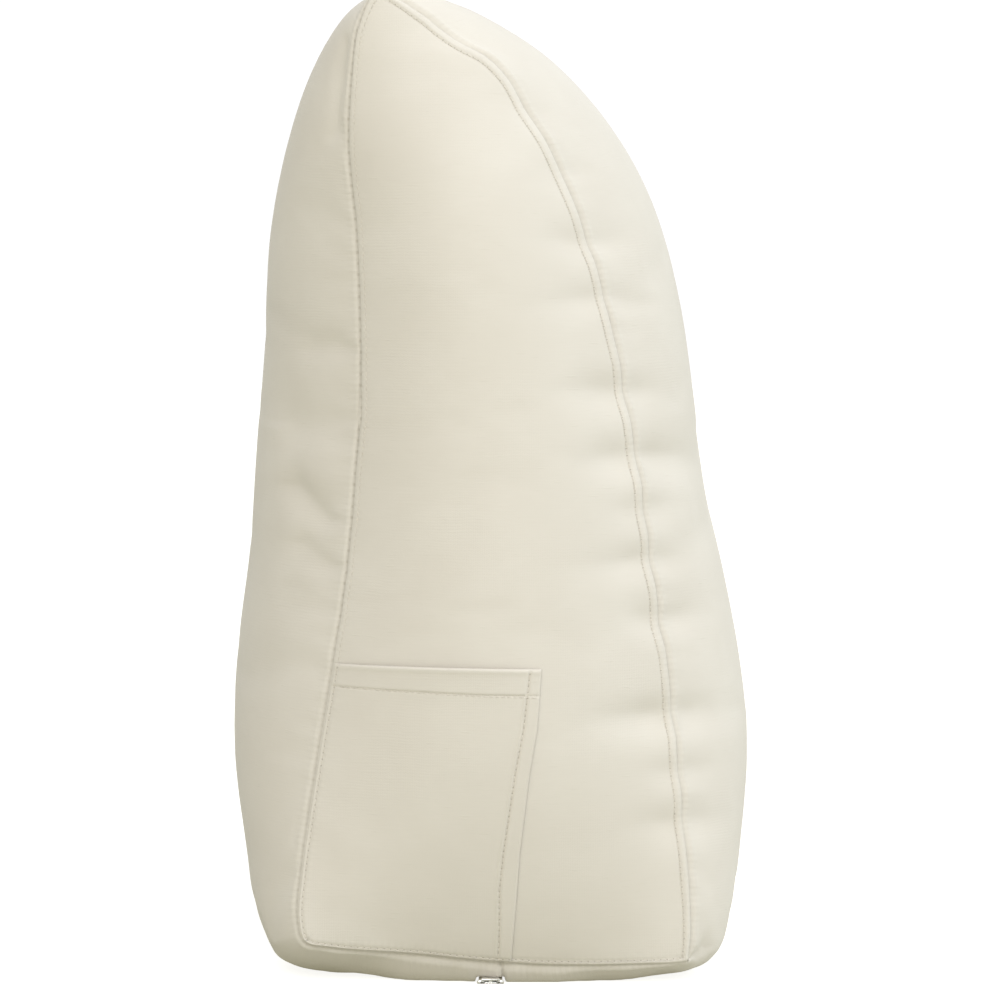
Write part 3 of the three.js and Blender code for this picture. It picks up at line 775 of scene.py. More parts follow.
def sewn_relief(skin, places):
    """How far the seam allowance, the lip and the topstitching lift each point along its normal."""
    rows = row_gap(skin, places)
    back = back_share(skin, places)
    allowance = ALLOWANCE + (BACK_ALLOWANCE - ALLOWANCE) * back
    groove = ROW_GROOVE + (BACK_ROW_GROOVE - ROW_GROOVE) * back
    under = rise(places.gap, ALLOWANCE_RISE) * (1 - rise(places.gap - rows + PAST_ROW, PAST_ROW_FALL))
    on_end = allowance * under - groove * bell(places.gap - rows, ROW_HALF)
    lip = (LIP + (BACK_LIP - LIP) * back) * bell(places.gap - LIP_GAP, LIP_HALF)
    return np.where(places.on_end, on_end, lip)


def ditch_moves(skin, places):
    """How the seam draws each point in, along its panel and into the filling."""
    back = back_share(skin, places)
    depth = DITCH + (BACK_DITCH - DITCH) * back
    half = DITCH_HALF + (BACK_DITCH_HALF - DITCH_HALF) * back
    sunk = depth * np.exp(-((places.gap / half) ** 1.4))
    drawn = depth * np.exp(-places.gap / DITCH_DRAW)
    across = np.where(places.on_end, drawn, sunk)
    inward_y = np.where(places.on_end, sunk, drawn) * np.where(places.far, -1, 1)
    moves = np.stack([across, inward_y, across], axis=1)
    for ring, loop, end in zip(skin.sleeve[[0, -1]], places.rims, (~places.far, places.far)):
        inward = inset_loop(loop, 1.0) - loop
        for axis, part in ((0, inward[:, 0]), (2, inward[:, 1])):
            toward = np.interp(places.run, places.run[ring], part, period=places.loop_long)
            moves[end, axis] *= toward[end]
    return moves


def closing_seam(skin, places):
    """Depth of the short seam that closes the base panel in front of the slider."""
    points = skin.points
    base = ~places.on_end & (points[:, 2] < CLOSING_SEAM_TOP) & (points[:, 1] < 0)
    shown = 1 - rise(places.gap - CLOSING_SEAM_LONG, CLOSING_SEAM_FADE)
    line = CLOSING_SEAM_X + CLOSING_SEAM_SLANT * np.clip(CLOSING_SEAM_BEND - points[:, 2], 0, 8)
    return np.where(base, CLOSING_SEAM_DEPTH * bell(points[:, 0] - line, CLOSING_SEAM_HALF) * shown, 0)


def furrow_height(x, y):
    """How high the base has to clear the zip at (x, y)."""
    at_slider = np.clip((SLIDER_BACK + NOTCH_REACH - y) / NOTCH_RUN_OUT, 0, 1)
    half = FURROW_HALF + (NOTCH_HALF - FURROW_HALF) * at_slider
    slope = FURROW_SLOPE + (NOTCH_SLOPE - FURROW_SLOPE) * at_slider
    across = np.clip((half + slope - np.abs(x - SLIDER_X * at_slider)) / slope, 0, 1)
    roof = CHAIN_ROOF + (SLIDER_ROOF - CHAIN_ROOF) * at_slider
    end = np.clip((ZIP_END + FURROW_PAST_END - y) / FURROW_RUN_OUT, 0, 1)
    across, end = (3 * s**2 - 2 * s**3 for s in (across, end))
    return roof * across * end


def moved(skin, points):
    return skin._replace(points=points)


def cushion_skin():
    """The finished cushion, with its folds and sewing, and what each of its points lies beside."""
    skin = smooth_skin(*FINE_SKIN)
    places = seam_places(skin)
    creases = filling_creases(skin)
    normals = skin_normals(skin)
    folds = fold_depths(skin, places, normals)
    points = skin.points - normals * folds[:, None] + creases
    points[:, 0] += seam_strays(skin, places)
    points[:, 2] += foot_lifts(skin, places)
    skin = moved(skin, points)
    places = seam_places(skin)
    normals = skin_normals(skin)
    relief = sewn_relief(skin, places) - closing_seam(skin, places)
    points = skin.points + normals * relief[:, None] + ditch_moves(skin, places)
    points[:, 2] = np.maximum(points[:, 2], furrow_height(points[:, 0], points[:, 1]))
    return moved(skin, points), places


def to_frame(points):
    return np.asarray(points) * MM + SHIFT


def new_mesh(name, points, faces, smooth=True):
    """A new object from points in the tables' frame."""
    mesh = bpy.data.meshes.new(name)
    mesh.from_pydata(to_frame(points).tolist(), [], faces if isinstance(faces, list) else faces.tolist())
    mesh.polygons.foreach_set("use_smooth", [smooth] * len(mesh.polygons))
    mesh.validate()
    piece = bpy.data.objects.new(name, mesh)
    bpy.context.collection.objects.link(piece)
    return piece


def set_vectors(piece, name, values, domain="POINT"):
    layer = piece.data.attributes.new(name, "FLOAT_VECTOR", domain)
    layer.data.foreach_set("vector", np.asarray(values, float).ravel())


def carried_on(corners, column, period):
    """Face corners' values, with a coordinate that starts again carried on past its period."""
    values = corners[..., column]
    corners[..., column] += period * (values < values.max(axis=1, keepdims=True) - period / 2)
    return corners


def weave_corners(skin):
    """Where each face corner lies on the flat cloth, in millimetres: across, and along the warp."""
    section = closed_spline(CROWN, section_rows(*skin.around))
    steps = np.linalg.norm(np.roll(section, -1, axis=0) - section, axis=1)
    on_sleeve = np.full(skin.points.shape, SLEEVE_CUT)
    on_sleeve[skin.sleeve, 0] = skin.points[skin.sleeve, 1]
    on_sleeve[skin.sleeve, 2] = np.concatenate([[0], np.cumsum(steps)[:-1]])[None]
    on_end = skin.points * (1, 0, 1)
    sleeve_quads = (len(skin.distances) - 1) * skin.sleeve.shape[1]
    sleeve = carried_on(on_sleeve[skin.quads[:sleeve_quads]], 2, steps.sum())
    return np.concatenate([sleeve, on_end[skin.quads[sleeve_quads:]]])


def make_cushion():
    skin, places = cushion_skin()
    piece = new_mesh("cushion_cover", skin.points, skin.quads)
    rows = row_gap(skin, places)
    stitches = round(places.loop_long / STITCH_PITCH)
    from_row = np.where(places.on_end, places.gap - rows, AWAY)
    sewing = np.stack([places.run * stitches / places.loop_long, from_row, places.gap], axis=1)
    set_vectors(piece, "weave_mm", weave_corners(skin), "CORNER")
    set_vectors(piece, "sewing", carried_on(sewing[skin.quads], 0, stitches), "CORNER")
    # Where the back seam is and how high, for the painted shade of its stitch dots and crease
    back = back_share(skin, places)
    set_vectors(piece, "seam_look", np.stack([back, skin.points[:, 2] / HEIGHT, 0 * back], axis=1))
    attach(piece, "root")
    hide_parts("cushion")
    return piece, skin, places


def inset_loop(loop, gap):
    """The points of a clockwise (x, z) loop, moved inward by one gap or by each point's own."""
    ahead = np.roll(loop, -1, axis=0) - np.roll(loop, 1, axis=0)
    inward = np.stack([ahead[:, 1], -ahead[:, 0]], axis=1) / np.hypot(*ahead.T)[:, None]
    return loop + inward * np.broadcast_to(gap, len(loop))[:, None]


def tree_of(*parts):
    """A tree for casting rays on several (points, quads) together."""
    points, faces, start = [], [], 0
    for some, quads in parts:
        points += some.tolist()
        faces += (quads + start).tolist()
        start += len(some)
    return BVHTree.FromPolygons(points, faces)


def cast(tree, plan, side):
    """Where (x, z) places meet the surface that faces side along Y: points and normals."""
    points, normals = [], []
    for x, z in plan.reshape(-1, 2):
        hit, normal, _, _ = tree.ray_cast(Vector((x, side * SEAM_TO_SEAM, z)), Vector((0, -side, 0)))
        if hit is None:
            hit, normal, _, _ = tree.find_nearest(Vector((x, side * HALF_SEAM, z)))
        points.append(hit)
        normals.append(normal if normal.y * side > 0 else -normal)
    shape = (*plan.shape[:-1], 3)
    return np.array(points).reshape(shape), np.array(normals).reshape(shape)


def pocket_plan(seam, u, v):
    """(x, z) of places on the pocket: u goes across from the back seam, v up from the foot."""
    loop = inset_loop(seam, POCKET_INSET)
    corner = loop[0]
    up_back = loop[: len(loop) // 3]
    along_base = np.concatenate([loop[-len(loop) // 8 :], loop[:1]])
    strays = np.interp(v, [e.up for e in POCKET_EDGE], [e.stray for e in POCKET_EDGE])

    def line(x, z):
        return np.stack(np.broadcast_arrays(x, z), axis=-1)

    left_z = corner[1] + v * (POCKET_MOUTH - corner[1])
    left = line(np.interp(left_z, up_back[:, 1], up_back[:, 0]), left_z)
    foot_x = corner[0] + u * (POCKET_RIGHT_AT_FOOT - corner[0])
    order = np.argsort(along_base[:, 0])
    foot = line(foot_x, np.interp(foot_x, along_base[order, 0], along_base[order, 1]))
    foot_end = np.interp(POCKET_RIGHT_AT_FOOT, along_base[order, 0], along_base[order, 1])
    right_x = POCKET_RIGHT_AT_FOOT + v * (POCKET_RIGHT - POCKET_RIGHT_AT_FOOT)
    right = line(right_x + strays, foot_end + v * (POCKET_MOUTH - foot_end))
    top_x = np.interp(POCKET_MOUTH, up_back[:, 1], up_back[:, 0])
    mouth = line(top_x + u * (POCKET_RIGHT - top_x), POCKET_MOUTH + POCKET_BOW * np.sin(np.pi * u))
    u, v = (np.broadcast_arrays(u, v)[k][..., None] for k in (0, 1))
    corners = (1 - u) * (1 - v) * corner
    corners = corners + u * (1 - v) * np.array([POCKET_RIGHT_AT_FOOT, foot_end])
    corners = corners + (1 - u) * v * np.array([top_x, POCKET_MOUTH])
    corners = corners + u * v * np.array([POCKET_RIGHT, POCKET_MOUTH])
    return (1 - u) * left + u * right + (1 - v) * foot + v * mouth - corners


def hem_depth(u):
    return HEM_AT_SEAM + (HEM_AT_EDGE - HEM_AT_SEAM) * np.minimum(1.4 * u, 1)


def edge_row_gap(v):
    return np.interp(v, [e.up for e in POCKET_EDGE], [e.row_gap for e in POCKET_EDGE])


def pocket_shares():
    """Shares of the pocket's width and height at its points, closest together at edges and rows."""
    wide = 105.0
    tall = 148.0
    row_at = wide - POCKET_EDGE[-3].row_gap
    u = crowded(wide, [(0, 0.7), (row_at, 0.55), (wide, 0.3)], 2.2, 96) / wide
    v = crowded(tall, [(0, 0.7), (tall - HEM_AT_EDGE, 0.5), (tall, 0.3)], 2.2, 120) / tall
    return u[None, :], v[:, None]


def make_pocket(skin, places):
    """The pocket: a doubled mouth and free edge, sewn down, standing a little off the panel."""
    rim = places.rims[0]
    ring = skin.sleeve[0]
    u, v = pocket_shares()
    plan = pocket_plan(rim, u, v)
    panel, _ = cast(tree_of((skin.points, skin.quads)), plan, -1)
    inner = smoothed_grid(panel[..., 1], 12)
    inner = np.minimum(inner, panel[..., 1])
    from_mouth = np.linalg.norm(plan[-1:] - plan, axis=-1)
    from_edge = np.linalg.norm(plan[:, -1:] - plan, axis=-1)
    open_mouth = np.sin(np.pi * np.clip(u, 0, 1)) ** GAPE_FULLNESS * (1 - rise(from_mouth, GAPE_REACH))
    inner = inner - POCKET_SEAT - POCKET_GAPE * open_mouth
    hem_gap = from_mouth - hem_depth(u)
    row_gap_here = from_edge - edge_row_gap(v)
    thick = POCKET_CLOTH + POCKET_TURNED * (1 - rise(hem_gap + 0.4, 0.9))
    thick = np.maximum(thick, POCKET_CLOTH + POCKET_TURNED * (1 - rise(row_gap_here - 1.2, 1.2)))
    thick = thick + MOUTH_RIM * bell(from_mouth - MOUTH_RIM_GAP, MOUTH_RIM_HALF)
    hem_groove = HEM_GROOVE * bell(hem_gap, HEM_GROOVE_HALF)
    thick = thick - np.maximum(hem_groove, EDGE_GROOVE * bell(row_gap_here, ROW_HALF))
    for gap, round_off in ((from_mouth, MOUTH_ROUND), (from_edge, EDGE_ROUND)):
        thick = thick * np.sqrt(rise(gap + 0.02, round_off))
    along = nearest_on_loop(plan.reshape(-1, 2), rim)
    seam_gap, seam_run = (part.reshape(plan.shape[:2]) for part in along)
    row_there = np.interp(seam_run, places.run[ring], row_gap(skin, places)[ring])
    thick = thick * rise(seam_gap - 1.4, 2.4) - SEAM_ROW_GROOVE * bell(seam_gap - row_there, ROW_HALF)
    thick = np.maximum(thick, THINNEST)
    outer = inner - thick
    rows, columns = thick.shape
    front, back = (np.stack([plan[..., 0], y, plan[..., 1]], axis=-1) for y in (outer, inner))
    points = np.concatenate([front.reshape(-1, 3), back.reshape(-1, 3)])
    ids = np.arange(rows * columns).reshape(rows, columns)
    rim_ids = np.concatenate([ids[0, :-1], ids[:-1, -1], ids[-1, :0:-1], ids[:0:-1, 0]])
    side = np.stack([rim_ids, np.roll(rim_ids, -1)], axis=1)
    walls = np.concatenate([side[:, ::-1], side + rows * columns], axis=1)
    quads = np.concatenate([grid_quads(ids), grid_quads(ids)[:, ::-1] + rows * columns, walls])
    piece = new_mesh("pocket", points, quads)
    run = seam_run * round(places.loop_long / STITCH_PITCH) / places.loop_long
    sewing = np.stack([run, seam_gap - row_there, seam_gap - 1.2], axis=-1).reshape(-1, 3)
    set_vectors(piece, "sewing", np.concatenate([sewing, sewing]))
    rows_gaps = np.stack([hem_gap, row_gap_here, 0 * thick], axis=-1).reshape(-1, 3)
    set_vectors(piece, "pocket_rows", np.concatenate([rows_gaps, rows_gaps]))
    flat = np.stack([plan[..., 0], 0 * thick + POCKET_CUT, plan[..., 1]], axis=-1).reshape(-1, 3)
    set_vectors(piece, "weave_mm", np.concatenate([flat, flat]))
    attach(piece, "root")
    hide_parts("side_pocket")
    return piece, points, quads


def smoothed_grid(values, rounds):
    """A grid of values averaged with its neighbours along both ways."""
    for _ in range(rounds):
        padded = np.pad(values, 1, mode="edge")
        values = values / 2 + (
            padded[:-2, 1:-1] + padded[2:, 1:-1] + padded[1:-1, :-2] + padded[1:-1, 2:]
        ) / 8
    return values


THREAD_SIDES = 6
THREAD_STEPS = 5
CORNER_NEAREST = 0.93


def stitch_lines(tree, line, starts, side):
    """Centre lines of the stitches that start at these runs along an (x, z) line on the surface."""
    run = run_along(line)
    share = np.linspace(0, 1, THREAD_STEPS)
    at = starts[:, None] + share[None] * STITCH_LONG
    plan = np.stack([np.interp(at, run, line[:, k]) for k in (0, 1)], axis=-1)
    points, normals = cast(tree, plan, side)
    lift = THREAD_RADIUS * 0.9 - STITCH_SINK * (2 * share - 1) ** 4
    return points + normals * lift[None, :, None], normals


def thread_mesh(name, groups, radius):
    """One joined mesh of short threads: each group holds centre lines and their normals."""
    lines = np.concatenate([points for points, _ in groups])
    normals = np.concatenate([normal for _, normal in groups])
    ahead = np.gradient(lines, axis=1)
    sideways = np.cross(ahead, normals)
    sideways /= np.linalg.norm(sideways, axis=-1)[..., None]
    upward = np.cross(sideways, ahead)
    upward /= np.linalg.norm(upward, axis=-1)[..., None]
    angles = np.arange(THREAD_SIDES) * 2 * np.pi / THREAD_SIDES
    steps = lines.shape[1]
    taper = np.sqrt(1 - 0.75 * np.abs(np.linspace(-1, 1, steps)) ** 6) * radius
    ring = upward[..., None, :] * np.cos(angles)[:, None]
    ring = ring + sideways[..., None, :] * np.sin(angles)[:, None]
    points = lines[..., None, :] + ring * taper[:, None, None]
    count = steps * THREAD_SIDES
    ids = np.arange(count).reshape(steps, THREAD_SIDES)
    tube = grid_quads(np.concatenate([ids, ids[:, :1]], axis=1)).tolist()
    tube += [ids[0, ::-1].tolist(), ids[-1].tolist()]
    faces = [[corner + k * count for corner in face] for k in range(len(lines)) for face in tube]
    return new_mesh(name, points.reshape(-1, 3), faces)


def make_stitches(skin, places, pocket):
    """Topstitching beside both end seams, and the pocket's hem and edge rows."""
    tree = tree_of((skin.points, skin.quads), pocket)
    rows = row_gap(skin, places)
    groups = []
    for loop, side in zip(places.rims, (-1, 1)):
        line = corner_cleared(loop, rows[skin.sleeve[0]])
        seam_long = np.hypot(*(np.roll(loop, -1, axis=0) - loop).T).sum()
        count = round(seam_long / STITCH_PITCH)
        starts = stitch_starts(loop, line, count)
        groups.append(stitch_lines(tree, line, starts, side))
    rim = places.rims[0]
    across = np.linspace(0.03, 1, 60)
    tall = POCKET_MOUTH - rim[0, 1]
    hem = pocket_plan(rim, across, 1 - hem_depth(across) / tall)
    up = np.linspace(0.02, 0.995, 80)
    edge = pocket_plan(rim, 1 - edge_row_gap(up) / (POCKET_RIGHT - rim[len(rim) // 8, 0]), up)
    for line, key in ((hem, 0), (edge, 1)):
        run = run_along(line)
        marks = np.arange(math.ceil(line[0, key] / POCKET_PITCH), line[-1, key] / POCKET_PITCH)
        middles = np.interp(marks * POCKET_PITCH, line[:, key], run)
        starts = middles - STITCH_LONG / 2
        starts = starts[(starts > 0) & (starts + STITCH_LONG < run[-1])]
        groups.append(stitch_lines(tree, line, starts, -1))
    piece = thread_mesh("topstitching", groups, THREAD_RADIUS)
    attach(piece, "root")
    return piece


def corner_cleared(loop, gaps):
    """The loop moved inward, without the points that a tight corner would bring too near the seam."""
    line = inset_loop(loop, gaps)
    clear = np.flatnonzero(nearest_on_loop(line, loop)[0] > CORNER_NEAREST * gaps)
    order = np.arange(len(line))
    line = np.stack([np.interp(order, clear, line[clear, k]) for k in (0, 1)], axis=-1)
    return np.concatenate([line, line[:1]])


def stitch_starts(loop, line, count):
    """Runs along a row of stitches at which they start, one for each even step of the seam itself."""
    seam_run = run_along(np.concatenate([loop, loop[:1]]))
    row_run = run_along(line)
    middles = np.interp(np.arange(1, count) * seam_run[-1] / count, seam_run, row_run)
    apart = np.diff(middles, prepend=-STITCH_PITCH) > STITCH_LONG
    return middles[apart] - STITCH_LONG / 2


def swept(sections):
    """A closed mesh through equal closed sections, with flat ends."""
    steps, around = len(sections), len(sections[0])
    ids = np.arange(steps * around).reshape(steps, around)
    faces = grid_quads(np.concatenate([ids, ids[:, :1]], axis=1)).tolist()
    faces += [ids[0, ::-1].tolist(), ids[-1].tolist()]
    return np.array(sections).reshape(-1, 3), faces


def joined(parts):
    points, faces, start = [], [], 0
    for some, its_faces in parts:
        points.append(some)
        faces += [[corner + start for corner in face] for face in its_faces]
        start += len(some)
    return np.concatenate(points), faces


def tape_half(side):
    """One woven tape with its rounded outer edge, from the coil out to where it is sewn."""
    top = TAPE_LOW + TAPE_THICK
    outline = [
        (0.4, TAPE_LOW + 0.15), (TAPE_HALF - 0.3, TAPE_LOW + 0.1), (TAPE_HALF, TAPE_LOW + 0.4),
        (TAPE_HALF - 0.3, top - 0.1), (0.4, top - 0.1),
    ]
    stations = np.linspace(ZIP_START + 0.3, ZIP_END, TAPE_STATIONS)
    ripple = TAPE_RIPPLE * np.sin(stations / TAPE_RIPPLE_LONG)
    narrow = TAPE_IN_SLIDER / TAPE_HALF
    sections = [
        [(side * x * narrow + SLIDER_X, y, z) for x, z in outline[::-side]]
        for y in (SLIDER_FRONT + 0.6, SLIDER_BACK + 0.2)
    ]
    sections += [
        [(side * x, y, z + dz) for x, z in outline[::-side]] for y, dz in zip(stations, ripple)
    ]
    return swept(sections)


def coil_half(side):
    """One side's coil: a flattened helix of wire whose turns lie between those of the other side."""
    turns = int((ZIP_END - COIL_FRONT) / COIL_PITCH)
    t = np.arange(turns * COIL_STEPS + 1) / COIL_STEPS
    y = COIL_FRONT + (t + 0.25 * (1 + side)) * COIL_PITCH
    parted = np.clip((SLIDER_BACK - y) / (SLIDER_BACK - SLIDER_FRONT), 0, 1)
    out = COIL_MIDDLE + COIL_PARTED * parted + COIL_HALF * np.cos(2 * np.pi * t)
    x = side * out + SLIDER_X * (y < SLIDER_BACK)
    z = TAPE_LOW - COIL_THICK / 2 + (COIL_THICK / 2 - COIL_WIRE) * np.sin(2 * np.pi * t)
    line = np.stack([x, y, z], axis=-1)
    ahead = np.gradient(line, axis=0)
    ahead /= np.linalg.norm(ahead, axis=1)[:, None]
    sideways = np.cross(ahead, (0, 1, 0))
    sideways /= np.linalg.norm(sideways, axis=1)[:, None]
    upward = np.cross(sideways, ahead)
    angles = np.arange(COIL_SIDES) * 2 * np.pi / COIL_SIDES
    sections = [
        [p + COIL_WIRE * (math.cos(a) * s + math.sin(a) * w) for a in angles]
        for p, s, w in zip(line, sideways, upward)
    ]
    return swept(sections)


def make_zip_chain():
    points, faces = joined([tape_half(-1), tape_half(1), coil_half(-1), coil_half(1)])
    piece = new_mesh("zip_tape_and_coil", points, faces)
    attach(piece, "root")
    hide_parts("zip_chain")
    return piece


def rounded_outline(corners, radius, steps=4):
    """A closed outline of (x, z) corners with each corner rounded off."""
    corners = np.array(corners, float)
    points = []
    ahead = np.roll(corners, -1, axis=0)
    for before, corner, after in zip(np.roll(corners, 1, axis=0), corners, ahead):
        reach = min(radius, *(np.linalg.norm(other - corner) / 2.2 for other in (before, after)))
        start, end = (
            corner + (other - corner) * reach / np.linalg.norm(other - corner) for other in (before, after)
        )
        for share in np.linspace(0, 1, steps):
            points.append((1 - share) ** 2 * start + 2 * share * (1 - share) * corner + share**2 * end)
    return np.array(points)


def slider_part(outline, front, back, widening=True, edge=0.35):
    """An outline swept from the slider's wide front to its narrow back, with softened ends."""
    centre = outline.mean(axis=0)
    stations = [(front, -edge), (front + edge * 0.3, -edge * 0.3), (front + edge, 0)]
    stations += [(y, 0) for y in np.linspace(front + 2, back - 2, 6)]
    stations += [(back - edge, 0), (back - edge * 0.3, -edge * 0.3), (back, -edge)]
    sections = []
    for y, inset in stations:
        share = (y - SLIDER_FRONT) / (SLIDER_BACK - SLIDER_FRONT)
        half = SLIDER_FRONT_HALF + (SLIDER_BACK_HALF - SLIDER_FRONT_HALF) * share
        wide = half / SLIDER_FRONT_HALF if widening else 1
        toward = outline - centre
        pulled = centre + toward * (1 + inset / np.maximum(np.linalg.norm(toward, axis=1), 1.2))[:, None]
        sections.append([(x * wide + SLIDER_X, y, z) for x, z in pulled])
    return swept(sections)


def make_slider():
    """The zip slider: a lower plate with curled flanges, an upper plate and the wedge between."""
    hook = [
        (6.4, 0.1), (7.0, 0.8), (6.9, 1.8), (6.0, 2.4), (4.6, 2.4), (3.6, 1.9), (3.5, 1.1), (4.0, 1.0),
        (4.3, 1.5), (5.0, 1.6), (5.4, 1.2), (5.2, 0.6),
    ]
    shell = rounded_outline(hook + [(-x, z) for x, z in hook[::-1]], 0.45)
    half = PLATE_HALF
    plate = rounded_outline([(-half, 2.1), (half, 2.1), (half - 0.5, 3.0), (0.5 - half, 3.0)], 0.3)
    wedge = rounded_outline([(-1.0, 0.5), (1.0, 0.5), (1.0, 2.6), (-1.0, 2.6)], 0.4)
    body = rounded_outline([(-6.0, 0.4), (6.0, 0.4), (6.0, 2.3), (-6.0, 2.3)], 0.4)
    nose = rounded_outline([(-3.3, 0.4), (3.3, 0.4), (3.2, 1.25), (-3.2, 1.25)], 0.3)
    parts = [
        slider_part(shell, SLIDER_FRONT, SLIDER_BACK),
        slider_part(plate, SLIDER_FRONT, SLIDER_BACK),
        slider_part(body, SLIDER_FRONT + 2.6, SLIDER_BACK, widening=False),
        slider_part(wedge, SLIDER_FRONT + 0.3, SLIDER_FRONT + 4.2, widening=False),
        slider_part(nose, SLIDER_FRONT + 0.2, SLIDER_FRONT + 3.2, widening=False),
    ]
    points, faces = joined(parts)
    piece = new_mesh("slider", points, faces)
    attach(piece, "root")
    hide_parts("zip_slider")
    return piece


# Camera: level with the upper half of the cushion, looking along +Y at its end
EYE = (0.00085, -2.765, 0.36)
LOOK_AT = (0.00085, 0.0, 0.2384)
FRAME_PIXELS = 984
FOCAL_PIXELS = 4966
SENSOR_MM = 36.0


def aim(piece, place, target):
    piece.location = place
    piece.rotation_mode = "QUATERNION"
    piece.rotation_quaternion = (Vector(target) - Vector(place)).to_track_quat("-Z", "Y")


def make_camera():
    data = bpy.data.cameras.new("camera")
    data.sensor_width = SENSOR_MM
    data.lens = SENSOR_MM * FOCAL_PIXELS / FRAME_PIXELS
    data.clip_start = 0.05
    data.clip_end = 100
    camera = bpy.data.objects.new("camera", data)
    bpy.context.collection.objects.link(camera)
    aim(camera, EYE, LOOK_AT)
    bpy.context.scene.camera = camera


def make_lamp(name, place, size, watts, colour):
    data = bpy.data.lights.new(name, "AREA")
    data.shape = "DISK"
    data.size = size
    data.energy = watts
    data.color = colour
    lamp = bpy.data.objects.new(name, data)
    bpy.context.collection.objects.link(lamp)
    aim(lamp, place, (0, 0, 0.25))


class Nodes:
    """Short ways to add nodes to a tree and to link them."""

    def __init__(self, tree):
        self.tree = tree

    def put(self, socket, value):
        if isinstance(value, bpy.types.NodeSocket):
            self.tree.links.new(value, socket)
        else:
            socket.default_value = value

    def node(self, kind, inputs, **settings):
        made = self.tree.nodes.new("ShaderNode" + kind)
        for name, value in settings.items():
            setattr(made, name, value)
        for name, value in inputs.items():
            self.put(made.inputs[name], value)
        return made

    def calculate(self, operation, *values):
        return self.node("Math", dict(enumerate(values)), operation=operation).outputs[0]

    def times(self, value, factor):
        return self.calculate("MULTIPLY", value, factor)

    def added(self, value, factor, rest):
        """value times factor, on top of the rest."""
        return self.calculate("MULTIPLY_ADD", value, factor, rest)

    def without(self, share):
        """What a share leaves of 1."""
        return self.calculate("SUBTRACT", 1.0, share)

    def attribute(self, name):
        made = self.node("Attribute", {}, attribute_name=name)
        parts = self.node("SeparateXYZ", {"Vector": made.outputs["Vector"]})
        return made.outputs["Vector"], *parts.outputs

    def noise(self, vector, scale, detail=2.0, roughness=0.5):
        inputs = {"Vector": vector, "Scale": scale, "Detail": detail, "Roughness": roughness}
        return self.node("TexNoise", inputs).outputs[0]

    def scaled(self, vector, factors):
        inputs = {0: vector, 1: factors}
        return self.node("VectorMath", inputs, operation="MULTIPLY").outputs[0]

    def spread(self, value, low, high, to_low=0.0, to_high=1.0):
        inputs = {
            "Value": value, "From Min": low, "From Max": high, "To Min": to_low, "To Max": to_high
        }
        return self.node("MapRange", inputs, interpolation_type="SMOOTHSTEP").outputs[0]

    def blend(self, share, first, second):
        made = self.node("Mix", {}, data_type="RGBA")
        self.put(made.inputs["Factor"], share)
        self.put(made.inputs[6], first)
        self.put(made.inputs[7], second)
        return made.outputs[2]


class Finish(Nodes):
    """A material with a Principled surface."""

    def __init__(self, name, **settings):
        self.material = bpy.data.materials.new(name)
        self.material.use_nodes = True
        super().__init__(self.material.node_tree)
        self.surface = self.tree.nodes["Principled BSDF"]
        for socket, value in settings.items():
            self.surface.inputs[socket.replace("_", " ")].default_value = value

    def finish(self, colour, height, depth_mm, roughness):
        bump = self.node("Bump", {"Height": height, "Distance": depth_mm * MM, "Strength": 1.0})
        self.tree.links.new(bump.outputs[0], self.surface.inputs["Normal"])
        self.put(self.surface.inputs["Base Color"], colour)
        self.put(self.surface.inputs["Roughness"], roughness)
        return self.material


CLOTH = (0.718, 0.670, 0.600, 1)
CLOTH_LIGHT = (0.752, 0.706, 0.638, 1)
CLOTH_DARK = (0.64, 0.592, 0.517, 1)
# Painted shade: the colour that darkens the cloth in the seam creases
PAINTED_SEAM_SHADE = (0.44, 0.405, 0.345, 1)
# Painted shadow: the colour that darkens the needle holes and the back seam's stitch dots
PAINTED_HOLE_SHADOW = (0.36, 0.315, 0.24, 1)
WARP_PITCH = 0.9
WEFT_PITCH = 1.5
WEFT_WAVER = 3.0  # how far the weft strays from level
HOLE_RADIUS = 0.5
# How much painted shadow darkens the needle holes along the rows, at the pocket's hem and along the back
# seam; the holes are also sunk in the relief
HOLE_SHADE = 0.4
HOLE_SHADE_AT_HEM = 0.3
HOLE_SHADE_AT_BACK = 0.2
# Painted shade of the back seam's stitch dots: how dark, and how far from the seam line
SEAM_DOT_SHADE = 0.32
SEAM_DOT_REACH = (0.2, 0.8)
BACK_SHADE_FULL_ABOVE, BACK_SHADE_FAINT_BELOW = 0.5, 0.24  # shares of the height between which the painted shade of the back seam's dots and crease grows weaker downwards
# Share of the back seam's painted shade that is left low down
BACK_SHADE_FAINT_SHARE = 0.35
# How much painted shade darkens the seam creases on the cushion, along the back seam and on the pocket,
# and how far from the seam line
CREASE_SHADE = 0.2
CREASE_SHADE_AT_BACK = 0.15
CREASE_SHADE_ON_POCKET = 0.3
CREASE_REACH = (0.1, 1.0)
PUCKER_REACH = (1.0, 8.0)
CLOTH_RELIEF = 0.22

# How far the threads, mottling, weave, slubs, puckers and holes tell in the cloth's tone and relief
TONE_OF_MOTTLE, TONE_OF_THREADS, TONE_OF_WEAVE, TONE_OF_SLUBS = 0.72, 0.15, 0.06, 0.12
RELIEF_OF_WEAVE, RELIEF_OF_THREADS, RELIEF_OF_SLUBS, RELIEF_OF_PUCKERS = 0.2, 0.15, 0.15, -0.2


def plain_weave(f, x, z):
    """Height of a plain weave, from 0 to 1."""
    warp = f.calculate("SINE", f.times(x, math.pi / WARP_PITCH))
    weft = f.calculate("SINE", f.times(z, math.pi / WEFT_PITCH))
    over = f.spread(f.times(warp, weft), -0.35, 0.35)
    low = f.times(f.calculate("ABSOLUTE", warp), f.without(over))
    return f.added(f.calculate("ABSOLUTE", weft), over, low)


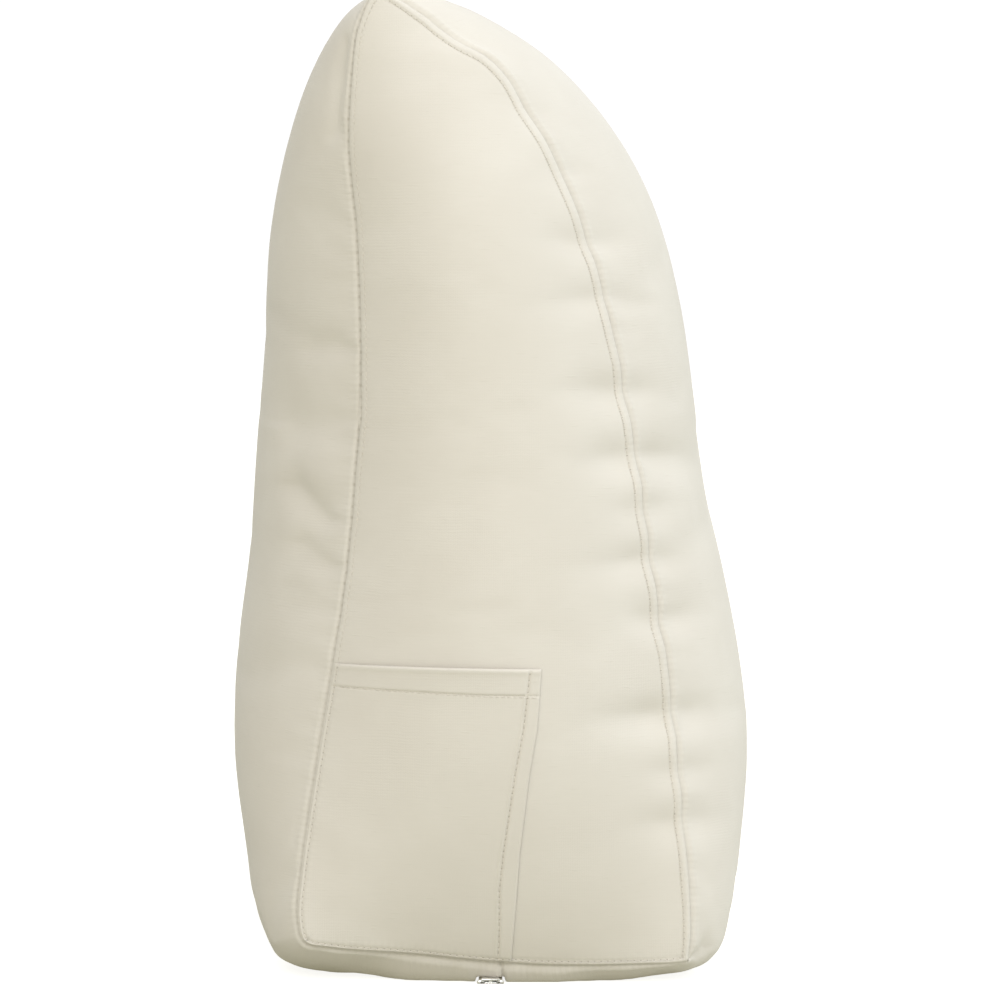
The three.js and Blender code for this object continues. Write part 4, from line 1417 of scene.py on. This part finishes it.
def needle_holes(f, run, from_row, pitch):
    """1 in the needle holes of a row of stitches, one at each half of run, and 0 around them."""
    along = f.times(f.calculate("SUBTRACT", f.calculate("FRACT", run), 0.5), pitch)
    squares = f.added(along, along, f.times(from_row, from_row))
    return f.without(f.spread(f.calculate("SQRT", squares), 0.3 * HOLE_RADIUS, HOLE_RADIUS))


def cloth_finish(name, patch):
    """Cream plain-woven cloth with slubs in its weft, needle holes and puckers at the sewing, and painted
    shade in its seam creases, needle holes and back seam stitch dots.
    """
    f = Finish(name, Sheen_Weight=0.2, Sheen_Roughness=0.5, Specular_IOR_Level=0.25)
    place, x, _, z = f.attribute("weave_mm")
    _, run, from_row, gap = f.attribute("sewing")
    wobble = f.noise(f.scaled(place, (0.05, 0.05, 0.05)), 1.0)
    weave = plain_weave(f, x, f.added(wobble, WEFT_WAVER, z))
    threads = f.noise(f.scaled(place, (0.09, 0.5, 0.85)), 1.0, 1.0)
    slubs = f.spread(f.noise(f.scaled(place, (0.11, 0.5, 1.1)), 1.0, 0.0), 0.72, 0.82)
    mottle = f.noise(f.scaled(place, (0.02, 0.05, 0.02)), 1.0, 3.0)
    hole = needle_holes(f, run, from_row, STITCH_PITCH)
    patches = f.spread(f.noise(f.scaled(place, (0.012, 0.05, 0.016)), 1.0, 1.0), 0.45, 0.62, 0.2, 1.0)
    weave = f.times(weave, patches)
    if patch:
        _, hem_gap, edge_gap, _ = f.attribute("pocket_rows")
        for along, row, share in ((x, hem_gap, HOLE_SHADE_AT_HEM), (z, edge_gap, 1.0)):
            other = needle_holes(f, f.calculate("DIVIDE", along, POCKET_PITCH), row, POCKET_PITCH)
            hole = f.calculate("MAXIMUM", hole, f.times(other, share))
        seam_dot_shade = 0.0
        crease_share = CREASE_SHADE_ON_POCKET
    else:
        _, back, height_share, _ = f.attribute("seam_look")
        # How strong the back seam's painted dot and crease shade is, weaker low down
        back_shade_by_height = f.spread(height_share, BACK_SHADE_FAINT_BELOW, BACK_SHADE_FULL_ABOVE, BACK_SHADE_FAINT_SHARE, 1.0)
        # Painted shade dots along the back seam, at the seam's own stitch pitch
        dots = f.calculate("COSINE", f.times(run, 2 * math.pi * STITCH_PITCH / SEAM_PITCH))
        dots = f.times(f.spread(dots, 0.3, 1.0, 0.0, SEAM_DOT_SHADE), f.times(back, back_shade_by_height))
        seam_dot_shade = f.times(dots, f.without(f.spread(gap, *SEAM_DOT_REACH)))
        hole = f.times(hole, f.added(back, HOLE_SHADE_AT_BACK - 1, 1.0))
        crease_share = f.added(f.times(back, back_shade_by_height), CREASE_SHADE_AT_BACK, CREASE_SHADE)
    # Painted shade in the seam crease, darkest at the seam line
    crease = f.without(f.spread(gap, *CREASE_REACH))
    pucker = f.calculate("COSINE", f.times(run, 2 * math.pi))
    pucker = f.times(pucker, f.without(f.spread(gap, *PUCKER_REACH)))
    tone = f.added(threads, TONE_OF_THREADS, f.times(mottle, TONE_OF_MOTTLE))
    tone = f.added(weave, TONE_OF_WEAVE, tone)
    colour = f.blend(f.spread(tone, 0.3, 0.7), CLOTH, CLOTH_LIGHT)
    colour = f.blend(f.times(slubs, TONE_OF_SLUBS), colour, CLOTH_DARK)
    colour = f.blend(f.times(crease, crease_share), colour, PAINTED_SEAM_SHADE)
    # Painted shadow in the needle holes and the back seam's stitch dots
    colour = f.blend(f.calculate("MAXIMUM", f.times(hole, HOLE_SHADE), seam_dot_shade), colour, PAINTED_HOLE_SHADOW)
    height = f.added(weave, RELIEF_OF_WEAVE, f.times(threads, RELIEF_OF_THREADS))
    height = f.added(slubs, RELIEF_OF_SLUBS, height)
    height = f.added(pucker, RELIEF_OF_PUCKERS, height)
    height = f.added(hole, -1.0, height)
    rough = f.spread(tone, 0.2, 0.8, 0.86, 0.96)
    return f.finish(colour, height, CLOTH_RELIEF, rough)


THREAD_LIGHT = (0.74, 0.695, 0.62, 1)
THREAD_DARK = (0.68, 0.635, 0.56, 1)
TAPE_LIGHT = (0.70, 0.65, 0.54, 1)
TAPE_DARK = (0.62, 0.57, 0.46, 1)
TAPE_RIB = 0.7
TAPE_FOLD = 0.8
NICKEL = (0.78, 0.77, 0.74, 1)
NICKEL_RUBBED = (0.90, 0.89, 0.87, 1)


def thread_finish():
    """Matching polyester thread, twisted, a little brighter than the cloth."""
    f = Finish("sewing_thread", Sheen_Weight=0.3, Specular_IOR_Level=0.35)
    place = f.node("TexCoord", {}).outputs["Object"]
    twist = f.noise(f.scaled(place, (2500, 2500, 2500)), 1.0, 1.0)
    tone = f.noise(f.scaled(place, (60, 60, 60)), 1.0, 2.0)
    colour = f.blend(f.spread(tone, 0.3, 0.7), THREAD_DARK, THREAD_LIGHT)
    return f.finish(colour, twist, 0.05, f.spread(twist, 0.3, 0.7, 0.6, 0.75))


def tape_finish():
    """Woven zip tape in a herringbone, with the coil's wire in the same shade."""
    f = Finish("zip_tape_weave", Sheen_Weight=0.1, Specular_IOR_Level=0.3)
    place = f.node("TexCoord", {}).outputs["Object"]
    parts = f.node("SeparateXYZ", {"Vector": place}).outputs
    fold = f.calculate("PINGPONG", f.times(parts[0], 1 / MM), TAPE_FOLD)
    slant = f.calculate("ADD", f.times(parts[1], 1 / MM), fold)
    rib = f.calculate("SINE", f.times(slant, 2 * math.pi / TAPE_RIB))
    rib = f.spread(rib, -1.0, 1.0)
    tone = f.noise(f.scaled(place, (90, 90, 90)), 1.0, 2.0)
    colour = f.blend(f.spread(tone, 0.3, 0.7), TAPE_DARK, TAPE_LIGHT)
    return f.finish(colour, rib, 0.12, f.spread(rib, 0.0, 1.0, 0.75, 0.85))


def metal_finish():
    """Nickel, with faint polishing marks and rubbed spots."""
    f = Finish("nickel", Metallic=1.0)
    place = f.node("TexCoord", {}).outputs["Object"]
    marks = f.noise(f.scaled(place, (600, 5000, 600)), 1.0, 2.0)
    rubbed = f.noise(f.scaled(place, (400, 400, 400)), 1.0, 3.0)
    colour = f.blend(f.spread(rubbed, 0.35, 0.7), NICKEL, NICKEL_RUBBED)
    return f.finish(colour, marks, 0.02, f.spread(rubbed, 0.3, 0.7, 0.36, 0.52))


# Studio light: a soft dome, brighter from above and from the right, and a floor that the camera sees
# as white as a lit backdrop and that lights the cloth only a little
SKY_ABOVE = (0.88, 0.89, 0.875)
SKY_RIGHT = (1.24, 1.30, 1.33)
BACKDROP = 1.05
FLOOR_GLOW = 0.62
FLOOR_LIGHT = 0.215
FLOOR_WHITE = (0.42, 0.42, 0.38, 1)
FLOOR_TINT = (1.0, 0.99, 0.74, 1)
FLOOR_REACH = 14.0

Lamp = namedtuple("Lamp", "name place size watts colour")
LAMPS = [
    Lamp("key", (-0.5, -3.3, 2.3), 1.6, 43.5, (1.0, 1.0, 1.02)),
    Lamp("fill", (-2.2, -2.8, 1.5), 1.6, 9, (1.15, 1.0, 0.57)),
]


def make_floor():
    """A wide plain pale floor."""
    mesh = bpy.data.meshes.new("floor")
    turns = [2 * math.pi * k / 96 for k in range(96)]
    rim = [(FLOOR_REACH * math.cos(a), FLOOR_REACH * math.sin(a), 0) for a in turns]
    mesh.from_pydata(rim, [], [range(len(rim))])
    floor = bpy.data.objects.new("floor", mesh)
    bpy.context.collection.objects.link(floor)
    f = Finish("floor_white", Roughness=1.0, Specular_IOR_Level=0.0)
    f.surface.inputs["Base Color"].default_value = FLOOR_WHITE
    seen = f.node("LightPath", {}).outputs["Is Camera Ray"]
    f.put(f.surface.inputs["Emission Color"], f.blend(seen, FLOOR_TINT, (1, 1, 1, 1)))
    f.put(f.surface.inputs["Emission Strength"], f.added(seen, FLOOR_GLOW, FLOOR_LIGHT))
    mesh.materials.append(f.material)


def make_world():
    """A soft dome of light, whose backdrop the camera sees as plain white."""
    world = bpy.data.worlds.new("studio")
    world.use_nodes = True
    bpy.context.scene.world = world
    w = Nodes(world.node_tree)
    toward = w.node("TexCoord", {}).outputs["Generated"]
    x, _, z = w.node("SeparateXYZ", {0: toward}).outputs
    above = w.calculate("MAXIMUM", z, 0.0)
    right = w.calculate("POWER", w.added(x, 0.5, 0.5), 2.0)
    total = (0, 0, 0)
    for share, colour in ((above, SKY_ABOVE), (right, SKY_RIGHT)):
        inputs = {0: share, 1: colour, 2: total}
        total = w.node("VectorMath", inputs, operation="MULTIPLY_ADD").outputs[0]
    light = w.tree.nodes["Background"]
    w.put(light.inputs["Color"], total)
    seen = w.node("Background", {"Color": (1, 1, 1, 1), "Strength": BACKDROP})
    ray = w.node("LightPath", {}).outputs["Is Camera Ray"]
    mix = w.node("MixShader", {0: ray, 1: light.outputs[0], 2: seen.outputs[0]})
    w.put(w.tree.nodes["World Output"].inputs[0], mix.outputs[0])


make_camera()
make_world()
make_floor()
for lamp in LAMPS:
    make_lamp(*lamp)
bpy.context.scene.view_settings.view_transform = "Standard"

cushion, skin, places = make_cushion()
pocket, pocket_points, pocket_quads = make_pocket(skin, places)
sewing = make_stitches(skin, places, (pocket_points, pocket_quads))
chain = make_zip_chain()
slider = make_slider()

cushion.data.materials.append(cloth_finish("cream_cloth", patch=False))
pocket.data.materials.append(cloth_finish("pocket_cloth", patch=True))
sewing.data.materials.append(thread_finish())
chain.data.materials.append(tape_finish())
slider.data.materials.append(metal_finish())
